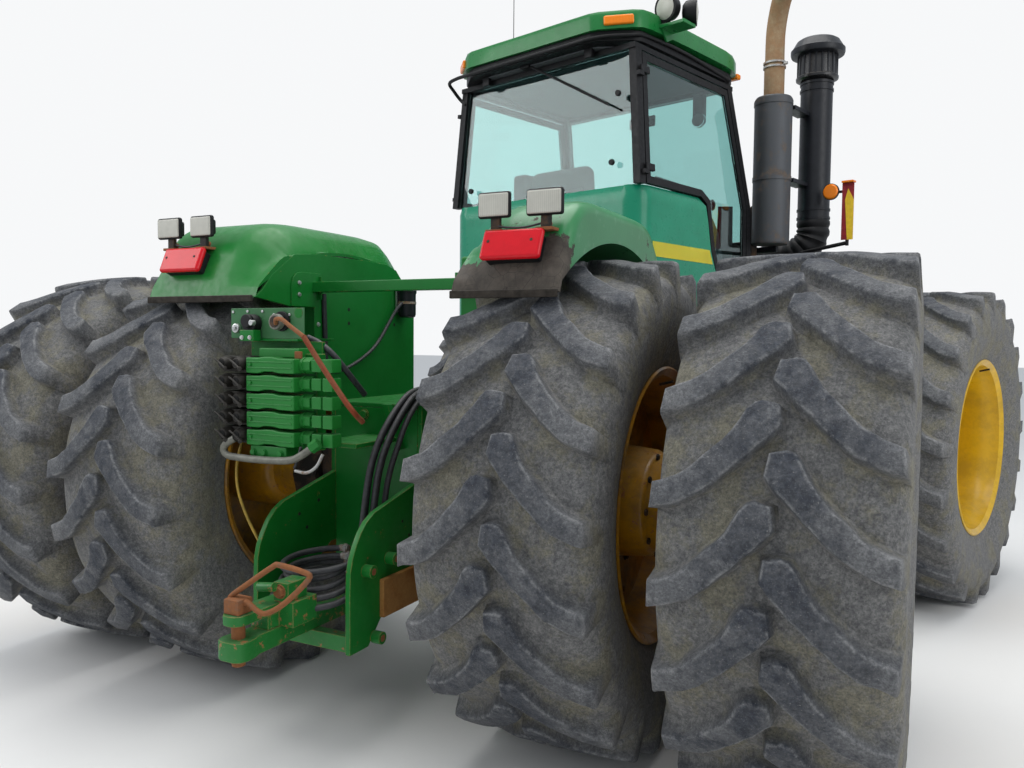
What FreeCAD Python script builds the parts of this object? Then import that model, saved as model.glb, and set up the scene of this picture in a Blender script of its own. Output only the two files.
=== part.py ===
import FreeCAD, Part
import math
import os
import re

import Sketcher

from FreeCAD import Placement, Rotation, Vector

# Articulated four-wheel-drive farm tractor on twin wheels. Millimetres, +X right, +Y forward, +Z up.
# Two halves meet at a vertical pivot: the rear half stands along Y, the front half is drawn straight
# ahead in the same axes and then turned about the pivot, as the tractor is parked.

os.makedirs("parts", exist_ok=True)
doc = FreeCAD.newDocument("tractor")

# Driving sizes
SIZES = (  # alias, value (mm, degrees or a count), what it measures
    ("slack", 0.3, "gap between pieces that only touch"),
    ("run_fit", 0.05, "radial gap of a pin or shaft in its hole"),
    ("turned", 15.7, "how far the front half is turned right of straight"),
    ("origin_x", 329, "origin, right of the rear half's middle"),
    ("origin_y", 2082, "origin, ahead of the rear axle"),
    # wheels
    ("axle_z", 1030, "axle height"),
    ("wheel_base", 3505, "rear axle to front axle"),
    ("pivot_y", 1752.5, "rear axle to pivot"),
    ("inner_x", 963, "inner tyre centre"),
    ("outer_x", 1870, "outer tyre centre"),
    ("lugs", 21, "lugs round each half of a tread"),
    ("flats", 16, "flat faces round a rim and a tyre's bead"),
    ("root_r", 974, "tread between lugs"),
    ("bead_half", 285, "half of the tyre's width at the rim"),
    ("rim_r", 555, "rim, outside"),
    ("rim_half", 305, "half of the rim's width"),
    ("rim_wall", 22, "rim, thickness"),
    ("well_r", 478, "rim inside, where the disc is welded"),
    ("disc_in", 100, "disc from the rim's middle"),
    ("disc_thick", 20, "wheel disc"),
    ("hub_r", 165, "wheel hub"),
    ("drum_r", 240, "drum between twin discs"),
    ("drum_past", 34, "drum and hub past a disc"),
    ("stub_r", 60, "wheel shaft"),
    ("stub_long", 95, "wheel shaft in the axle end"),
    # axles
    ("axle_box", 150, "half of the axle beam's section"),
    ("axle_end_r", 205, "axle end drum"),
    ("axle_end_x", 430, "axle end drum, inner face"),
    ("axle_out_x", 575, "axle end drum, outer face"),
    ("hub_gap", 10, "wheel hub from the axle end"),
    # frames
    ("plate_in", 230, "frame plates, inside"),
    ("plate", 25, "frame plate"),
    ("rear_deck_z", 1420, "rear frame top"),
    ("rear_wall_y", -297, "rear frame's back wall"),
    ("rear_front_y", 1240, "rear frame's front end"),
    ("frame_low_z", 760, "frames, lower edge"),
    ("front_top_z", 1220, "front frame, top edge"),
    ("yoke_half", 150, "front frame's narrow rear, half of its width"),
    ("yoke_rear_y", 2110, "yoke, rear end"),
    ("front_rear_y", 2620, "front frame plates, rear end"),
    ("front_nose_y", 5250, "front frame plates, front end"),
    # pivot
    ("tube_r", 150, "hinge casting's tube in the rear frame"),
    ("tube_back_y", 985, "tube, rear end"),
    ("flange_y", 1560, "hinge flange, rear face"),
    ("flange_thick", 40, "hinge flange"),
    ("boss_r", 105, "hinge casting's boss at the pivot"),
    ("boss_low_z", 830, "boss, lower face"),
    ("boss_high_z", 1190, "boss, upper face"),
    ("ear_gap", 10, "boss to the front frame's ears"),
    ("ear_thick", 40, "pivot ear"),
    ("ear_r", 120, "pivot ear, round its pin"),
    ("pivot_pin_r", 50, "pivot pin"),
    # steering cylinders
    ("cyl_base_x", 255, "cylinder base pin, across"),
    ("cyl_base_y", 1692.5, "cylinder base pin, along"),
    ("cyl_rod_x", 260, "rod eye, across"),
    ("cyl_rod_y", 2452.5, "rod eye, along"),
    ("cyl_z", 1030, "cylinders' height"),
    ("barrel_r", 42, "cylinder barrel"),
    ("rod_r", 24, "cylinder rod"),
    ("cyl_pin_r", 20, "cylinder base pin"),
    ("cyl_eye", 60, "cylinder eye, tall"),
    ("fork_gap", 6, "cylinder eye to fork"),
    ("fork_plate", 18, "fork plate"),
    ("barrel_long", 540, "barrel, its far end from the base pin"),
    ("barrel_start", 58, "barrel, its near end from the base pin"),
    ("hitch_pin_r", 25.4, "drawbar pin"),
    ("coupler_r", 10.3, "hydraulic coupling's bore"),
    ("coupler_deep", 30, "hydraulic coupling's bore, deep"),
    # fenders
    ("fender_in", 400, "fender and tank, inner face"),
    ("fender_out", 1065, "fender, outer face"),
    ("tank_out", 565, "tank side below the arch, outer face"),
    ("arch_r", 1122, "wheel arch"),
    ("tank_rear_y", -215, "tank, rear face"),
    ("tank_front_y", 617, "tank, front face"),
    ("bar_side", 50, "square tube between the fenders"),
    ("bar_z", 1958, "square tube's height"),
    # hood
    ("hood_rear_y", 2975, "hood and bulkhead, rear end"),
    ("hood_half", 430, "hood, half of its width"),
    ("hood_sheet", 15, "hood panels"),
    ("stack_r", 55, "exhaust pipe above the muffler"),
    # cab
    ("cab_half", 800, "cab side at the sill"),
    ("cab_lean", 4.9, "lean of the cab's sides, degrees"),
    ("sill_z", 2640, "window sill at the rear"),
    ("eave_z", 3440, "top of the glass"),
    ("floor_z", 1800, "cab floor"),
    ("cab_rear_y", 1530, "cab, rear face"),
    ("cab_front_y", 2960, "cab floor, front end"),
    ("tyre_clear_x", 570, "cab's lower front, half of its width between the tyres"),
    ("post", 50, "cab post"),
    ("door_thick", 28, "door frame"),
    ("glass", 6, "glass"),
    ("hinge_pin_r", 6, "door hinge pin"),
)

sheet = doc.addObject("Spreadsheet::Sheet", "size")
for row, (alias, value, meaning) in enumerate(SIZES, 1):
    sheet.set(f"A{row}", meaning)
    sheet.set(f"B{row}", str(value))
    sheet.setAlias(f"B{row}", alias)
doc.recompute()
SIZE = {alias: float(sheet.get(alias)) for alias, value, meaning in SIZES}


class Named:
    """the sheet's values by name, for the shapes that Part's own functions make"""

    def __getattr__(self, alias):
        return SIZE[alias]


S = Named()


def cell(text):
    """an expression of aliases, as the document writes it"""
    return re.sub(r"[a-z][a-z_]+", lambda m: "size." + m[0] if m[0] in SIZE else m[0], str(text))


def worth(text):
    """the same expression as a number"""
    plain = re.sub(r"[a-z][a-z_]+", lambda m: repr(SIZE[m[0]]), str(text))
    return FreeCAD.Units.Quantity(plain).Value


def bind(obj, **properties):
    for name, text in properties.items():
        obj.setExpression(name.replace("_dot_", "."), cell(text))
    return obj


def at(obj, x, y, z, turn=None):
    obj.Placement = Placement(Vector(), turn or Rotation())
    return bind(obj, Placement_dot_Base_dot_x=x, Placement_dot_Base_dot_y=y, Placement_dot_Base_dot_z=z)


def part(kind, label):
    obj = doc.addObject(kind, "item")
    obj.Label = label
    return obj


# Part primitives and sketched profiles, each bound to the sheet
def box(x, y, z, label="box"):
    """x, y, z: pairs of expressions, low and high"""
    obj = part("Part::Box", label)
    bind(
        obj,
        Length=f"{x[1]} - ({x[0]})",
        Width=f"{y[1]} - ({y[0]})",
        Height=f"{z[1]} - ({z[0]})",
    )
    return at(obj, x[0], y[0], z[0])


ALONG = {
    "x": Rotation(Vector(0, 1, 0), 90),
    "y": Rotation(Vector(1, 0, 0), -90),
    "z": Rotation(),
}


def rod(axis, radius, low, high, u, v, label="rod", sides=0):
    """a cylinder, or with sides a prism, from low to high along an axis; u, v: its other two places"""
    obj = part("Part::Prism" if sides else "Part::Cylinder", label)
    bind(obj, Height=f"{high} - ({low})")
    if sides:
        obj.Polygon = sides
        bind(obj, Circumradius=radius)
    else:
        bind(obj, Radius=radius)
    place = {"x": (low, u, v), "y": (u, low, v), "z": (u, v, low)}[axis]
    return at(obj, *place, turn=ALONG[axis])


PLANES = {  # plane: turn of the sketch, axis that it is pushed along
    "xy": (Rotation(), 2),
    "yz": (Rotation(Vector(1, 1, 1), 120), 0),
    "xz": (Rotation(Vector(1, 0, 0), 90), 1),
}


def slab(plane, points, low, high, label="slab"):
    """an outline of (u, v) expressions, extruded from low to high across its plane"""
    turn, axis = PLANES[plane]
    sketch = doc.addObject("Sketcher::SketchObject", "outline")
    rough = [tuple(worth(t) for t in p) for p in points]
    for k, p in enumerate(rough):
        q = rough[(k + 1) % len(rough)]
        sketch.addGeometry(Part.LineSegment(Vector(*p, 0), Vector(*q, 0)), False)
    for k, p in enumerate(points):
        sketch.addConstraint(Sketcher.Constraint("Coincident", k, 2, (k + 1) % len(points), 1))
    for k, p in enumerate(points):
        for kind, text, value in (("DistanceX", p[0], rough[k][0]), ("DistanceY", p[1], rough[k][1])):
            n = sketch.addConstraint(Sketcher.Constraint(kind, -1, 1, k, 1, value))
            if re.search("[a-z]", str(text)):
                sketch.setExpression(f"Constraints[{n}]", cell(text))
    start = [0, 0, 0]
    start[axis] = low
    at(sketch, *start, turn=turn)
    push = part("Part::Extrusion", label)
    push.Base = sketch
    push.DirMode = "Custom"
    push.Dir = Vector(*[1.0 if k == axis else 0.0 for k in range(3)])
    push.Solid = True
    bind(push, LengthFwd=f"{high} - ({low})")
    return push


def fuse(label, *items):
    obj = part("Part::MultiFuse", label)
    obj.Shapes = list(items)
    obj.Refine = True
    return obj


def cut(label, base, *tools):
    obj = part("Part::Cut", label)
    obj.Base = base
    obj.Tool = tools[0] if len(tools) == 1 else fuse("tools", *tools)
    obj.Refine = True
    return obj


def made(label, shape):
    """a sub-part whose shape Part's own functions make from the sheet's values"""
    obj = part("Part::Feature", label)
    obj.Shape = shape
    return obj


# Shapes with flat faces, which keep the big round pieces light
def face(points):
    return Part.Face(Part.makePolygon(list(points) + [points[0]]))


def closed(faces):
    solid = Part.makeSolid(Part.makeShell(faces))
    if solid.Volume < 0:
        solid.reverse()
    return solid


def turned_flats(profile, flats):
    """a closed profile of (axial, radial to a flat) points turned about X in flats, a quarter flat on"""

    def corner(point, k):
        angle = 2 * math.pi * (k + 0.25) / flats
        reach = point[1] / math.cos(math.pi / flats)
        return Vector(point[0], reach * math.sin(angle), reach * math.cos(angle))

    faces = []
    for a, b in zip(profile, profile[1:] + profile[:1]):
        for k in range(flats):
            faces.append(face([corner(a, k), corner(a, k + 1), corner(b, k + 1), corner(b, k)]))
    return closed(faces)


def six_sided(low, high):
    """a post or rail between two four-cornered ends"""
    sides = [face([low[k], low[(k + 1) % 4], high[(k + 1) % 4], high[k]]) for k in range(4)]
    return closed(sides + [face(low), face(high)])


def pipe(points, radius, sides):
    """a pipe of flat faces along a path of points, mitred at each bend"""
    path = [Vector(*p) for p in points]
    ways = [(b - a).normalize() for a, b in zip(path, path[1:])]
    across = ways[0].cross(Vector(0, 1, 0) if abs(ways[0].y) < 0.9 else Vector(0, 0, 1)).normalize()
    ring = []
    for k in range(sides):
        turn = Rotation(ways[0], 360 * k / sides)
        ring.append(path[0] + turn.multVec(across * radius))
    rings = [ring]
    for k, way in enumerate(ways):
        here = path[k + 1]
        ahead = ways[k + 1] if k + 1 < len(ways) else way
        mitre = (way + ahead).normalize()
        ring = [p + way * ((here - p).dot(mitre) / way.dot(mitre)) for p in ring]
        rings.append(ring)
    faces = [face(rings[0]), face(rings[-1])]
    for low, high in zip(rings, rings[1:]):
        for k in range(sides):
            n = (k + 1) % sides
            faces.append(face([low[k], low[n], high[n], high[k]]))
    return closed(faces)


NODES = {}  # label: (object, half that carries it)


def node(label, obj, half):
    obj.Label = label
    NODES[label] = (obj, half)


MIRROR = {"right": 1, "left": -1}


def sided(side, *texts):
    """the pair (low, high) of distances from the middle, on one side"""
    a, b = texts
    return (a, b) if side == "right" else (f"-({b})", f"-({a})")


# Tyres and wheels
PITCH = 360 / S.lugs
LUG = (  # across, degrees back from the leading corner and drop below the axle's height, then across and
    # degrees back at the root; corners in turn round the lug from its head's trailing corner
    (-10, 3.1, 1, -20, 4.1),
    (62, 0, 0, 66, -1.1),
    (345, 13.5, 14, 350, 12.5),
    (345, 16.7, 14, 350, 17.7),
)


def round_x(x, radius, degrees):
    angle = math.radians(degrees)
    return Vector(x, radius * math.sin(angle), radius * math.cos(angle))


def strip(left, right):
    """triangles between two rings of (degrees, point), each in order"""

    def after(ring, k):
        return ring[(k + 1) % len(ring)][0] + 360 * ((k + 1) // len(ring))

    faces = []
    i = j = 0
    while i < len(left) or j < len(right):
        a, b = left[i % len(left)][1], right[j % len(right)][1]
        if j == len(right) or (i < len(left) and after(left, i) <= after(right, j)):
            i += 1
            faces.append(face([a, left[i % len(left)][1], b]))
        else:
            j += 1
            faces.append(face([a, right[j % len(right)][1], b]))
    return faces


def halved(a, b, c, d):
    """two triangles in place of a four-sided face that need not be flat"""
    return [face([a, b, c]), face([a, c, d])]


def half_tread(side):
    """raked lugs and the tread between them, with the rings of roots at the heads and at the tips"""
    heads, tips, lugs = [], [], []
    for k in range(int(S.lugs)):
        lead = (k + (0 if side > 0 else 0.5)) * PITCH
        top = [round_x(side * x, S.axle_z - drop, lead - back) for x, back, drop, _, _ in LUG]
        root = [round_x(side * x, S.root_r, lead - back) for _, _, _, x, back in LUG]
        lugs.append((top, root))
        heads += [(lead - LUG[0][4], root[0]), (lead - LUG[1][4], root[1])]
        tips += [(lead - LUG[3][4], root[3]), (lead - LUG[2][4], root[2])]
    faces = []
    for k, (top, root) in enumerate(lugs):
        after = lugs[(k + 1) % len(lugs)][1]
        loop = range(4) if side > 0 else (3, 2, 1, 0)
        faces += halved(*[top[n] for n in loop])
        for m, n in zip(loop, list(loop)[1:] + list(loop)[:1]):
            faces += halved(root[m], root[n], top[n], top[m])
        groove = (root[1], after[0], after[3], root[2])
        faces += halved(*(groove if side > 0 else groove[::-1]))
    return faces, in_order(heads), in_order(tips)


def in_order(ring):
    return sorted(((degrees % 360, point) for degrees, point in ring), key=lambda row: row[0])


def bead(side):
    reach = (S.rim_r + S.slack) / math.cos(math.pi / S.flats)
    turns = [360 * (k + 0.25) / S.flats for k in range(int(S.flats))]
    return [(t, round_x(side * S.bead_half, reach, t)) for t in turns]


def tyre():
    """a tyre with two staggered rows of raked lugs, in flat faces"""
    left, left_heads, left_tips = half_tread(-1)
    right, right_heads, right_tips = half_tread(1)
    sides = strip(bead(-1), left_tips) + strip(right_tips, bead(1))
    return closed(left + right + sides + strip(left_heads, right_heads) + strip(bead(1), bead(-1)))


def rim(disc):
    """a rim with its disc; disc: the disc's middle, from the rim's"""
    wall = S.rim_r - S.rim_wall
    a, b = disc - S.disc_thick / 2, disc + S.disc_thick / 2
    return turned_flats(
        [
            (-S.rim_half, S.rim_r),
            (S.rim_half, S.rim_r),
            (S.rim_half, wall),
            (b, S.well_r),
            (b, S.hub_r - 30),
            (a, S.hub_r - 30),
            (a, S.well_r),
        ],
        int(S.flats),
    )


TYRE = tyre()
INNER_RIM, OUTER_RIM = rim(S.disc_in), rim(-S.disc_in)
AXLES = {"rear": 0, "front": S.wheel_base}


def moved(shape, x, y, z, flip=False):
    copy = shape.copy()
    if flip:
        copy = copy.mirror(Vector(), Vector(1, 0, 0))
    copy.translate(Vector(x, y, z))
    return copy


for half, axle_y in AXLES.items():
    for side, sign in MIRROR.items():
        flip = sign < 0
        tyres = [moved(TYRE, sign * x, axle_y, S.axle_z, flip) for x in (S.inner_x, S.outer_x)]
        node(f"tyres_{half}_{side}", made("tyres", Part.makeCompound(tyres)), half)
        inner = made("inner rim", moved(INNER_RIM, sign * S.inner_x, axle_y, S.axle_z, flip))
        outer = made("outer rim", moved(OUTER_RIM, sign * S.outer_x, axle_y, S.axle_z, flip))
        along = axle_y or 0
        hub = rod(
            "x",
            "hub_r",
            *sided(side, "axle_out_x + hub_gap", "outer_x - disc_in + disc_thick / 2 + drum_past"),
            along,
            "axle_z",
            "hub",
            12,
        )
        drum = rod(
            "x",
            "drum_r",
            *sided(side, "inner_x + disc_in + disc_thick / 2", "outer_x - disc_in - disc_thick / 2"),
            along,
            "axle_z",
            "drum",
            12,
        )
        stub = rod(
            "x",
            "stub_r",
            *sided(side, "axle_out_x - stub_long", "axle_out_x + hub_gap"),
            along,
            "axle_z",
            "shaft",
        )
        node(f"wheels_{half}_{side}", fuse("wheels", inner, outer, hub, drum, stub), half)


# Axles
def axle(half, y):
    beam = box(
        ("-axle_end_x", "axle_end_x"),
        (f"{y} - axle_box", f"{y} + axle_box"),
        ("axle_z - axle_box", "axle_z + axle_box"),
        "beam",
    )
    belly = box(
        ("-plate_in + slack", "plate_in - slack"),
        (f"{y} - 240", f"{y} + 240"),
        ("axle_z - 230", "axle_z + 150"),
        "belly",
    )
    ends, bores = [], []
    for side in MIRROR:
        ends.append(
            rod("x", "axle_end_r", *sided(side, "axle_end_x", "axle_out_x"), y, "axle_z", "end", 12)
        )
        bores.append(
            rod(
                "x",
                "stub_r + run_fit",
                *sided(side, "axle_out_x - stub_long - 5", "axle_out_x + 1"),
                y,
                "axle_z",
                "bore",
            )
        )
    return cut("axle", fuse("axle body", beam, belly, *ends), *bores)


node("rear_axle", axle("rear", "0"), "rear")
node("front_axle", axle("front", "wheel_base"), "front")


def axle_window(y):
    return box(
        ("-plate_in - plate - 1", "plate_in + plate + 1"),
        (f"{y} - axle_box", f"{y} + axle_box"),
        ("axle_z - axle_box", "axle_z + axle_box"),
        "axle window",
    )


# Rear frame: two hitch plates that run forward as the frame's sides
HITCH_SIDE = (  # along, up
    (-811, 458),
    (-806, 791),
    (-769, 891),
    (-700, 975),
    (-646, 1005),
    ("rear_wall_y", 1090),
    ("rear_wall_y", "rear_deck_z"),
    (1000, "rear_deck_z"),
    ("rear_front_y", 1260),
    ("rear_front_y", "frame_low_z"),
    (-330, "frame_low_z"),
    (-560, 600),
    (-690, 458),
)
rear_items = [
    slab("yz", HITCH_SIDE, *sided(side, "plate_in", "plate_in + plate"), f"side plate {side}")
    for side in MIRROR
]
INSIDE = ("-plate_in", "plate_in")
rear_items += [
    box(INSIDE, ("rear_wall_y", "rear_wall_y + plate"), ("axle_z + axle_box + 20", "rear_deck_z - 20"), "back wall"),
    box(INSIDE, ("rear_wall_y", 1000), ("rear_deck_z - 20", "rear_deck_z"), "deck"),
    box(INSIDE, (300, "rear_front_y"), ("frame_low_z", "frame_low_z + 20"), "floor"),
    box(INSIDE, ("rear_front_y - 60", "rear_front_y"), ("frame_low_z + 20", 1260), "front bearing wall"),
    box(INSIDE, (1000, 1040), ("frame_low_z + 20", "rear_deck_z - 40"), "rear bearing wall"),
    box((-60, 140), (-620, "rear_wall_y"), (1255, 1275), "valve shelf"),
    box((-420, 150), (-640, -620), (1240, 1700), "valve plate"),
]
for side in MIRROR:
    rear_items.append(
        box(
            sided(side, "plate_in + plate", "tank_out"),
            (-150, 550),
            ("rear_deck_z - 40", "rear_deck_z - 20"),
            f"tank shelf {side}",
        )
    )
rear_items += [
    rod("x", 26, "plate_in + plate", "plate_in + plate + 45", y, z, "boss", 8)
    for y, z in ((-714, 780), (-556, 796), (-654, 490))
]
rear_items.append(rod("x", 26, "-plate_in - plate - 45", "-plate_in - plate", -714, 780, "boss", 8))
tube_hole = rod("y", "tube_r + run_fit", 1150, "rear_front_y + 1", 0, "axle_z", "tube hole")
rear_hole = rod("y", "(tube_r + run_fit) / cos(11.25 deg)", 950, 1100, 0, "axle_z", "rear tube hole", 16)
frame_body = fuse("rear frame body", *rear_items)
node("rear_frame", cut("rear frame", frame_body, axle_window("0"), tube_hole, rear_hole), "rear")

# Drawbar, its support and its pin
crossbar = box(INSIDE, (-790, -740), (458, 525), "drawbar support")
bar = slab(
    "xy",
    ((-50, 150), (-50, -1100), (-62, -1130), (-62, -1185), (-40, -1207), (40, -1207), (62, -1185), (62, -1130), (50, -1100), (50, 150)),
    525,
    600,
    "bar",
)
riser = box((-45, 45), (-1040, -900), (600, 655), "riser")
ear = slab("xy", ((-50, -900), (-50, -1180), (-30, -1200), (30, -1200), (50, -1180), (50, -900)), 655, 695, "upper jaw")
pin_hole = rod("z", "hitch_pin_r + slack", 500, 710, 0, -1147, "pin hole")
hanger = box((-50, 50), (100, 150), (600, "axle_z - 230"), "drawbar hanger")
node("drawbar", cut("drawbar", fuse("drawbar body", crossbar, bar, riser, ear, hanger), pin_hole), "rear")
pin = rod("z", "hitch_pin_r", 495, 695, 0, -1147, "pin")
head = box((-37, 37), (-1184, -1110), (695, 752), "pin head")
node("hitch_pin", fuse("hitch pin", pin, head), "rear")

# Fenders with the tanks' sides, the arch cut round the tyre
FENDER_SIDE = (  # along, up
    (-645, 1895),
    (-590, 2030),
    (-540, 2130),
    (-450, 2225),
    (-380, 2262),
    (350, 2270),
    (440, 2240),
    ("tank_front_y", 2079),
    ("tank_front_y", "rear_deck_z - 20"),
    ("tank_rear_y", "rear_deck_z - 20"),
    ("tank_rear_y", 1895),
)
for side in MIRROR:
    body = slab("yz", FENDER_SIDE, *sided(side, "fender_in", "fender_out"), "fender body")
    arch = rod("x", "arch_r", *sided(side, "tank_out", "fender_out + 1"), 0, "axle_z", "arch")
    tail = rod("x", "arch_r", *sided(side, "fender_in - 1", "tank_out"), 0, "axle_z", "arch behind")
    behind = box(
        sided(side, "fender_in - 2", "tank_out + 1"), (-1200, "tank_rear_y"), (1000, 2300), "behind the tank"
    )
    tail_arch = part("Part::Common", "tail arch")
    tail_arch.Base, tail_arch.Tool = tail, behind
    front = box(sided(side, "tank_out", "fender_out + 1"), (430, 700), (1300, 2075), "open front")
    node(f"fender_{side}", cut("fender", body, arch, tail_arch, front), "rear")

node(
    "fender_bar",
    box(
        ("-fender_in - 40", "fender_in + 40"),
        ("tank_rear_y - bar_side", "tank_rear_y"),
        ("bar_z - bar_side / 2", "bar_z + bar_side / 2"),
        "fender bar",
    ),
    "rear",
)

# Remote valves: five sections, each with two couplings and a capped end
valve_items = [box((-330, 150), (-700, -640), (1245, 1670), "valve spine")]
for k in range(5):
    z = 1298 + 76 * k
    valve_items.append(box((-500, -330), (-760, -650), (z - 33, z + 33), "couplings"))
    valve_items.append(box((-330, -55), (-780, -660), (z - 32, z + 32), "section"))
    valve_items.append(rod("x", 34, -55, 8, -722, z, "cap", 6))
    valve_items.append(rod("x", 26, 8, 160, -722, z, "spool end", 6))
ports = [
    rod("y", "coupler_r", -761, "coupler_deep - 760", x, 1602, f"port {k}")
    for k, x in enumerate((-458, -372))
]
node("valve_stack", cut("valve stack", fuse("valves", *valve_items), *ports), "rear")

plate = box((-500, -80), (-690, -684), (1712, 1842), "plate")
foot = box((-400, -120), (-690, -620), (1700, 1712), "foot")
socket = rod("y", 42, -735, -690, -360, 1775, "seven pin socket", 12)
cap = rod("y", 40, -725, -690, -215, 1785, "round socket", 12)
node("connector_plate", fuse("connector plate", plate, foot, socket, cap), "rear")

# Rear lamps: on each fender a tail lamp on the sloping face and two work lamps
lamps = []
for side in MIRROR:
    lamps.append(
        slab(
            "yz",
            ((-650, 2012), (-640, 2130), (-540.5, 2130), (-590.5, 2030), (-598, 2012)),
            *sided(side, 732, 978),
            "tail lamp",
        )
    )
    for low, high in ((672, 822), (892, 1042)):
        lamps.append(box(sided(side, low, high), (-620, -540), (2190, 2290), "work lamp"))
        stem = slab(
            "yz",
            ((-560, 2190), (-560, 2110), (-550.1, 2110), (-540.1, 2130), (-510, 2162), (-510, 2190)),
            *sided(side, f"{low} + 55", f"{low} + 95"),
            "lamp foot",
        )
        lamps.append(stem)
node("rear_lamps", fuse("rear lamps", *lamps), "rear")

filter_can = rod("z", 48, 1830, 1985, -332, 470, "filter can", 12)
filter_head = box((-400, -290), (425, 515), (1985, 2005), "filter head")
node("fuel_filter", fuse("filter", filter_can, filter_head), "rear")

# Hinge casting between the halves: a tube that rolls in the rear frame, a boss for the pivot pin
tube = rod("y", "tube_r", "tube_back_y", "flange_y", 0, "axle_z", "tube")
flange = rod("y", 195, "flange_y", "flange_y + flange_thick", 0, "axle_z", "flange", 12)
neck = box(
    (-80, 80), ("flange_y + flange_thick", "pivot_y"), ("boss_low_z", "boss_high_z"), "neck"
)
boss = rod("z", "boss_r", "boss_low_z", "boss_high_z", 0, "pivot_y", "boss", 12)
pin_bore = rod("z", "pivot_pin_r + run_fit", "boss_low_z - 1", "boss_high_z + 1", 0, "pivot_y", "pin bore")
hinge_items = [tube, flange, neck, boss]
for side in MIRROR:
    for sign in ("-", "+"):
        low, high = ("cyl_eye / 2 + fork_gap", "cyl_eye / 2 + fork_gap + fork_plate")
        z = (f"cyl_z + {low}", f"cyl_z + {high}") if sign == "+" else (f"cyl_z - ({high})", f"cyl_z - ({low})")
        s = "" if side == "right" else "-"
        hinge_items.append(
            slab(
                "xy",
                (
                    (f"{s}60", "flange_y + flange_thick"),
                    (f"{s}150", "flange_y + flange_thick"),
                    (f"{s}(cyl_base_x + 38)", "cyl_base_y - 35"),
                    (f"{s}(cyl_base_x + 38)", "cyl_base_y + 24"),
                    (f"{s}(cyl_base_x - 30)", "cyl_base_y + 24"),
                    (f"{s}60", "cyl_base_y + 10"),
                ),
                *z,
                "cylinder fork",
            )
        )
    hinge_items.append(
        rod(
            "z",
            "cyl_pin_r",
            "cyl_z - cyl_eye / 2 - fork_gap - 1",
            "cyl_z + cyl_eye / 2 + fork_gap + 1",
            f"{s}cyl_base_x",
            "cyl_base_y",
            "base pin",
            12,
        )
    )
node("hinge_casting", cut("hinge casting", fuse("hinge body", *hinge_items), pin_bore), "hinge")


# Steering cylinders, lying between their pins
def turned(radius, angle):
    """a point round the cylinder's own axis, where its barrel starts"""
    angle = math.radians(angle)
    return Vector(radius * math.cos(angle), S.barrel_start, radius * math.sin(angle))


def cylinder(side):
    sign = MIRROR[side]
    base = Vector(sign * S.cyl_base_x, S.cyl_base_y, S.cyl_z)
    straight_eye = Vector(sign * S.cyl_rod_x, S.cyl_rod_y, S.cyl_z)
    eye = turn_front(straight_eye)
    way = (eye - base).normalize()
    aim = math.degrees(math.atan2(-way.x, way.y))
    length = (eye - base).Length
    ring = [turned(S.barrel_r, k * 30) for k in range(12)]
    barrel = face(ring).extrude(Vector(0, S.barrel_long - S.barrel_start, 0))
    block = Part.makeBox(64, 35 + S.barrel_start, S.cyl_eye, Vector(-32, -35, -S.cyl_eye / 2))
    bore = Part.makeCylinder(S.rod_r + S.run_fit, S.barrel_long, Vector(0, 120, 0), Vector(0, 1, 0))
    pin = Part.makeCylinder(S.cyl_pin_r + S.run_fit, S.cyl_eye, Vector(0, 0, -S.cyl_eye / 2))
    barrel = barrel.fuse(block).cut(bore).cut(pin)
    piston = Part.makeCylinder(S.rod_r, 470 - 25, Vector(0, length - 470, 0), Vector(0, 1, 0))
    eye_block = Part.makeBox(64, 70, S.cyl_eye - 10, Vector(-32, length - 38, -(S.cyl_eye - 10) / 2))
    piston = piston.fuse(eye_block)
    for shape in (barrel, piston):
        shape.Placement = Placement(base, Rotation(Vector(0, 0, 1), aim))
    return barrel, piston


def turn_front(point):
    pivot = Vector(0, S.pivot_y, 0)
    return pivot + Rotation(Vector(0, 0, 1), -S.turned).multVec(point - pivot)


for side in MIRROR:
    barrel, piston = cylinder(side)
    node(f"steer_barrel_{side}", made("barrel", barrel), "hinge")
    node(f"steer_rod_{side}", made("rod", piston), "hinge")

# Front frame: side plates with the pivot's ears behind and a bumper plate ahead
FRONT_SIDE = (
    ("front_rear_y", 780),
    ("front_rear_y", "front_top_z"),
    (4950, "front_top_z"),
    ("front_nose_y", 1150),
    ("front_nose_y", 860),
    (4300, 760),
    (2900, 760),
)
front_items = [
    slab("yz", FRONT_SIDE, *sided(side, "plate_in", "plate_in + plate"), f"side plate {side}")
    for side in MIRROR
]
YOKE = ("-yoke_half", "yoke_half")
front_items += [
    box(("-plate_in - plate", "plate_in + plate"), ("front_rear_y", "front_rear_y + 40"), (780, "front_top_z"), "rear wall"),
    box(YOKE, ("yoke_rear_y", "front_rear_y"), (780, 820), "yoke floor"),
    box(YOKE, ("yoke_rear_y", "front_rear_y"), ("front_top_z - 20", "front_top_z + 20"), "yoke top"),
    box(("-yoke_half", "-yoke_half + plate"), ("yoke_rear_y", "front_rear_y"), (820, "front_top_z - 20"), "yoke left"),
    box(("yoke_half - plate", "yoke_half"), ("yoke_rear_y", "front_rear_y"), (820, "front_top_z - 20"), "yoke right"),
    box(INSIDE, ("front_nose_y - 40", "front_nose_y"), (860, 1150), "nose wall"),
    box((-420, 420), ("front_nose_y", "front_nose_y + 50"), (860, 1150), "bumper"),
    box((-255, 255), (5100, 5140), (1100, 1340), "radiator foot"),
    cut(
        "radiator frame",
        box((-414, 414), (5100, 5140), (1340, 2140), "radiator plate"),
        box((-370, 370), (5090, 5150), (1400, 2060), "radiator window"),
    ),
]
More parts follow.
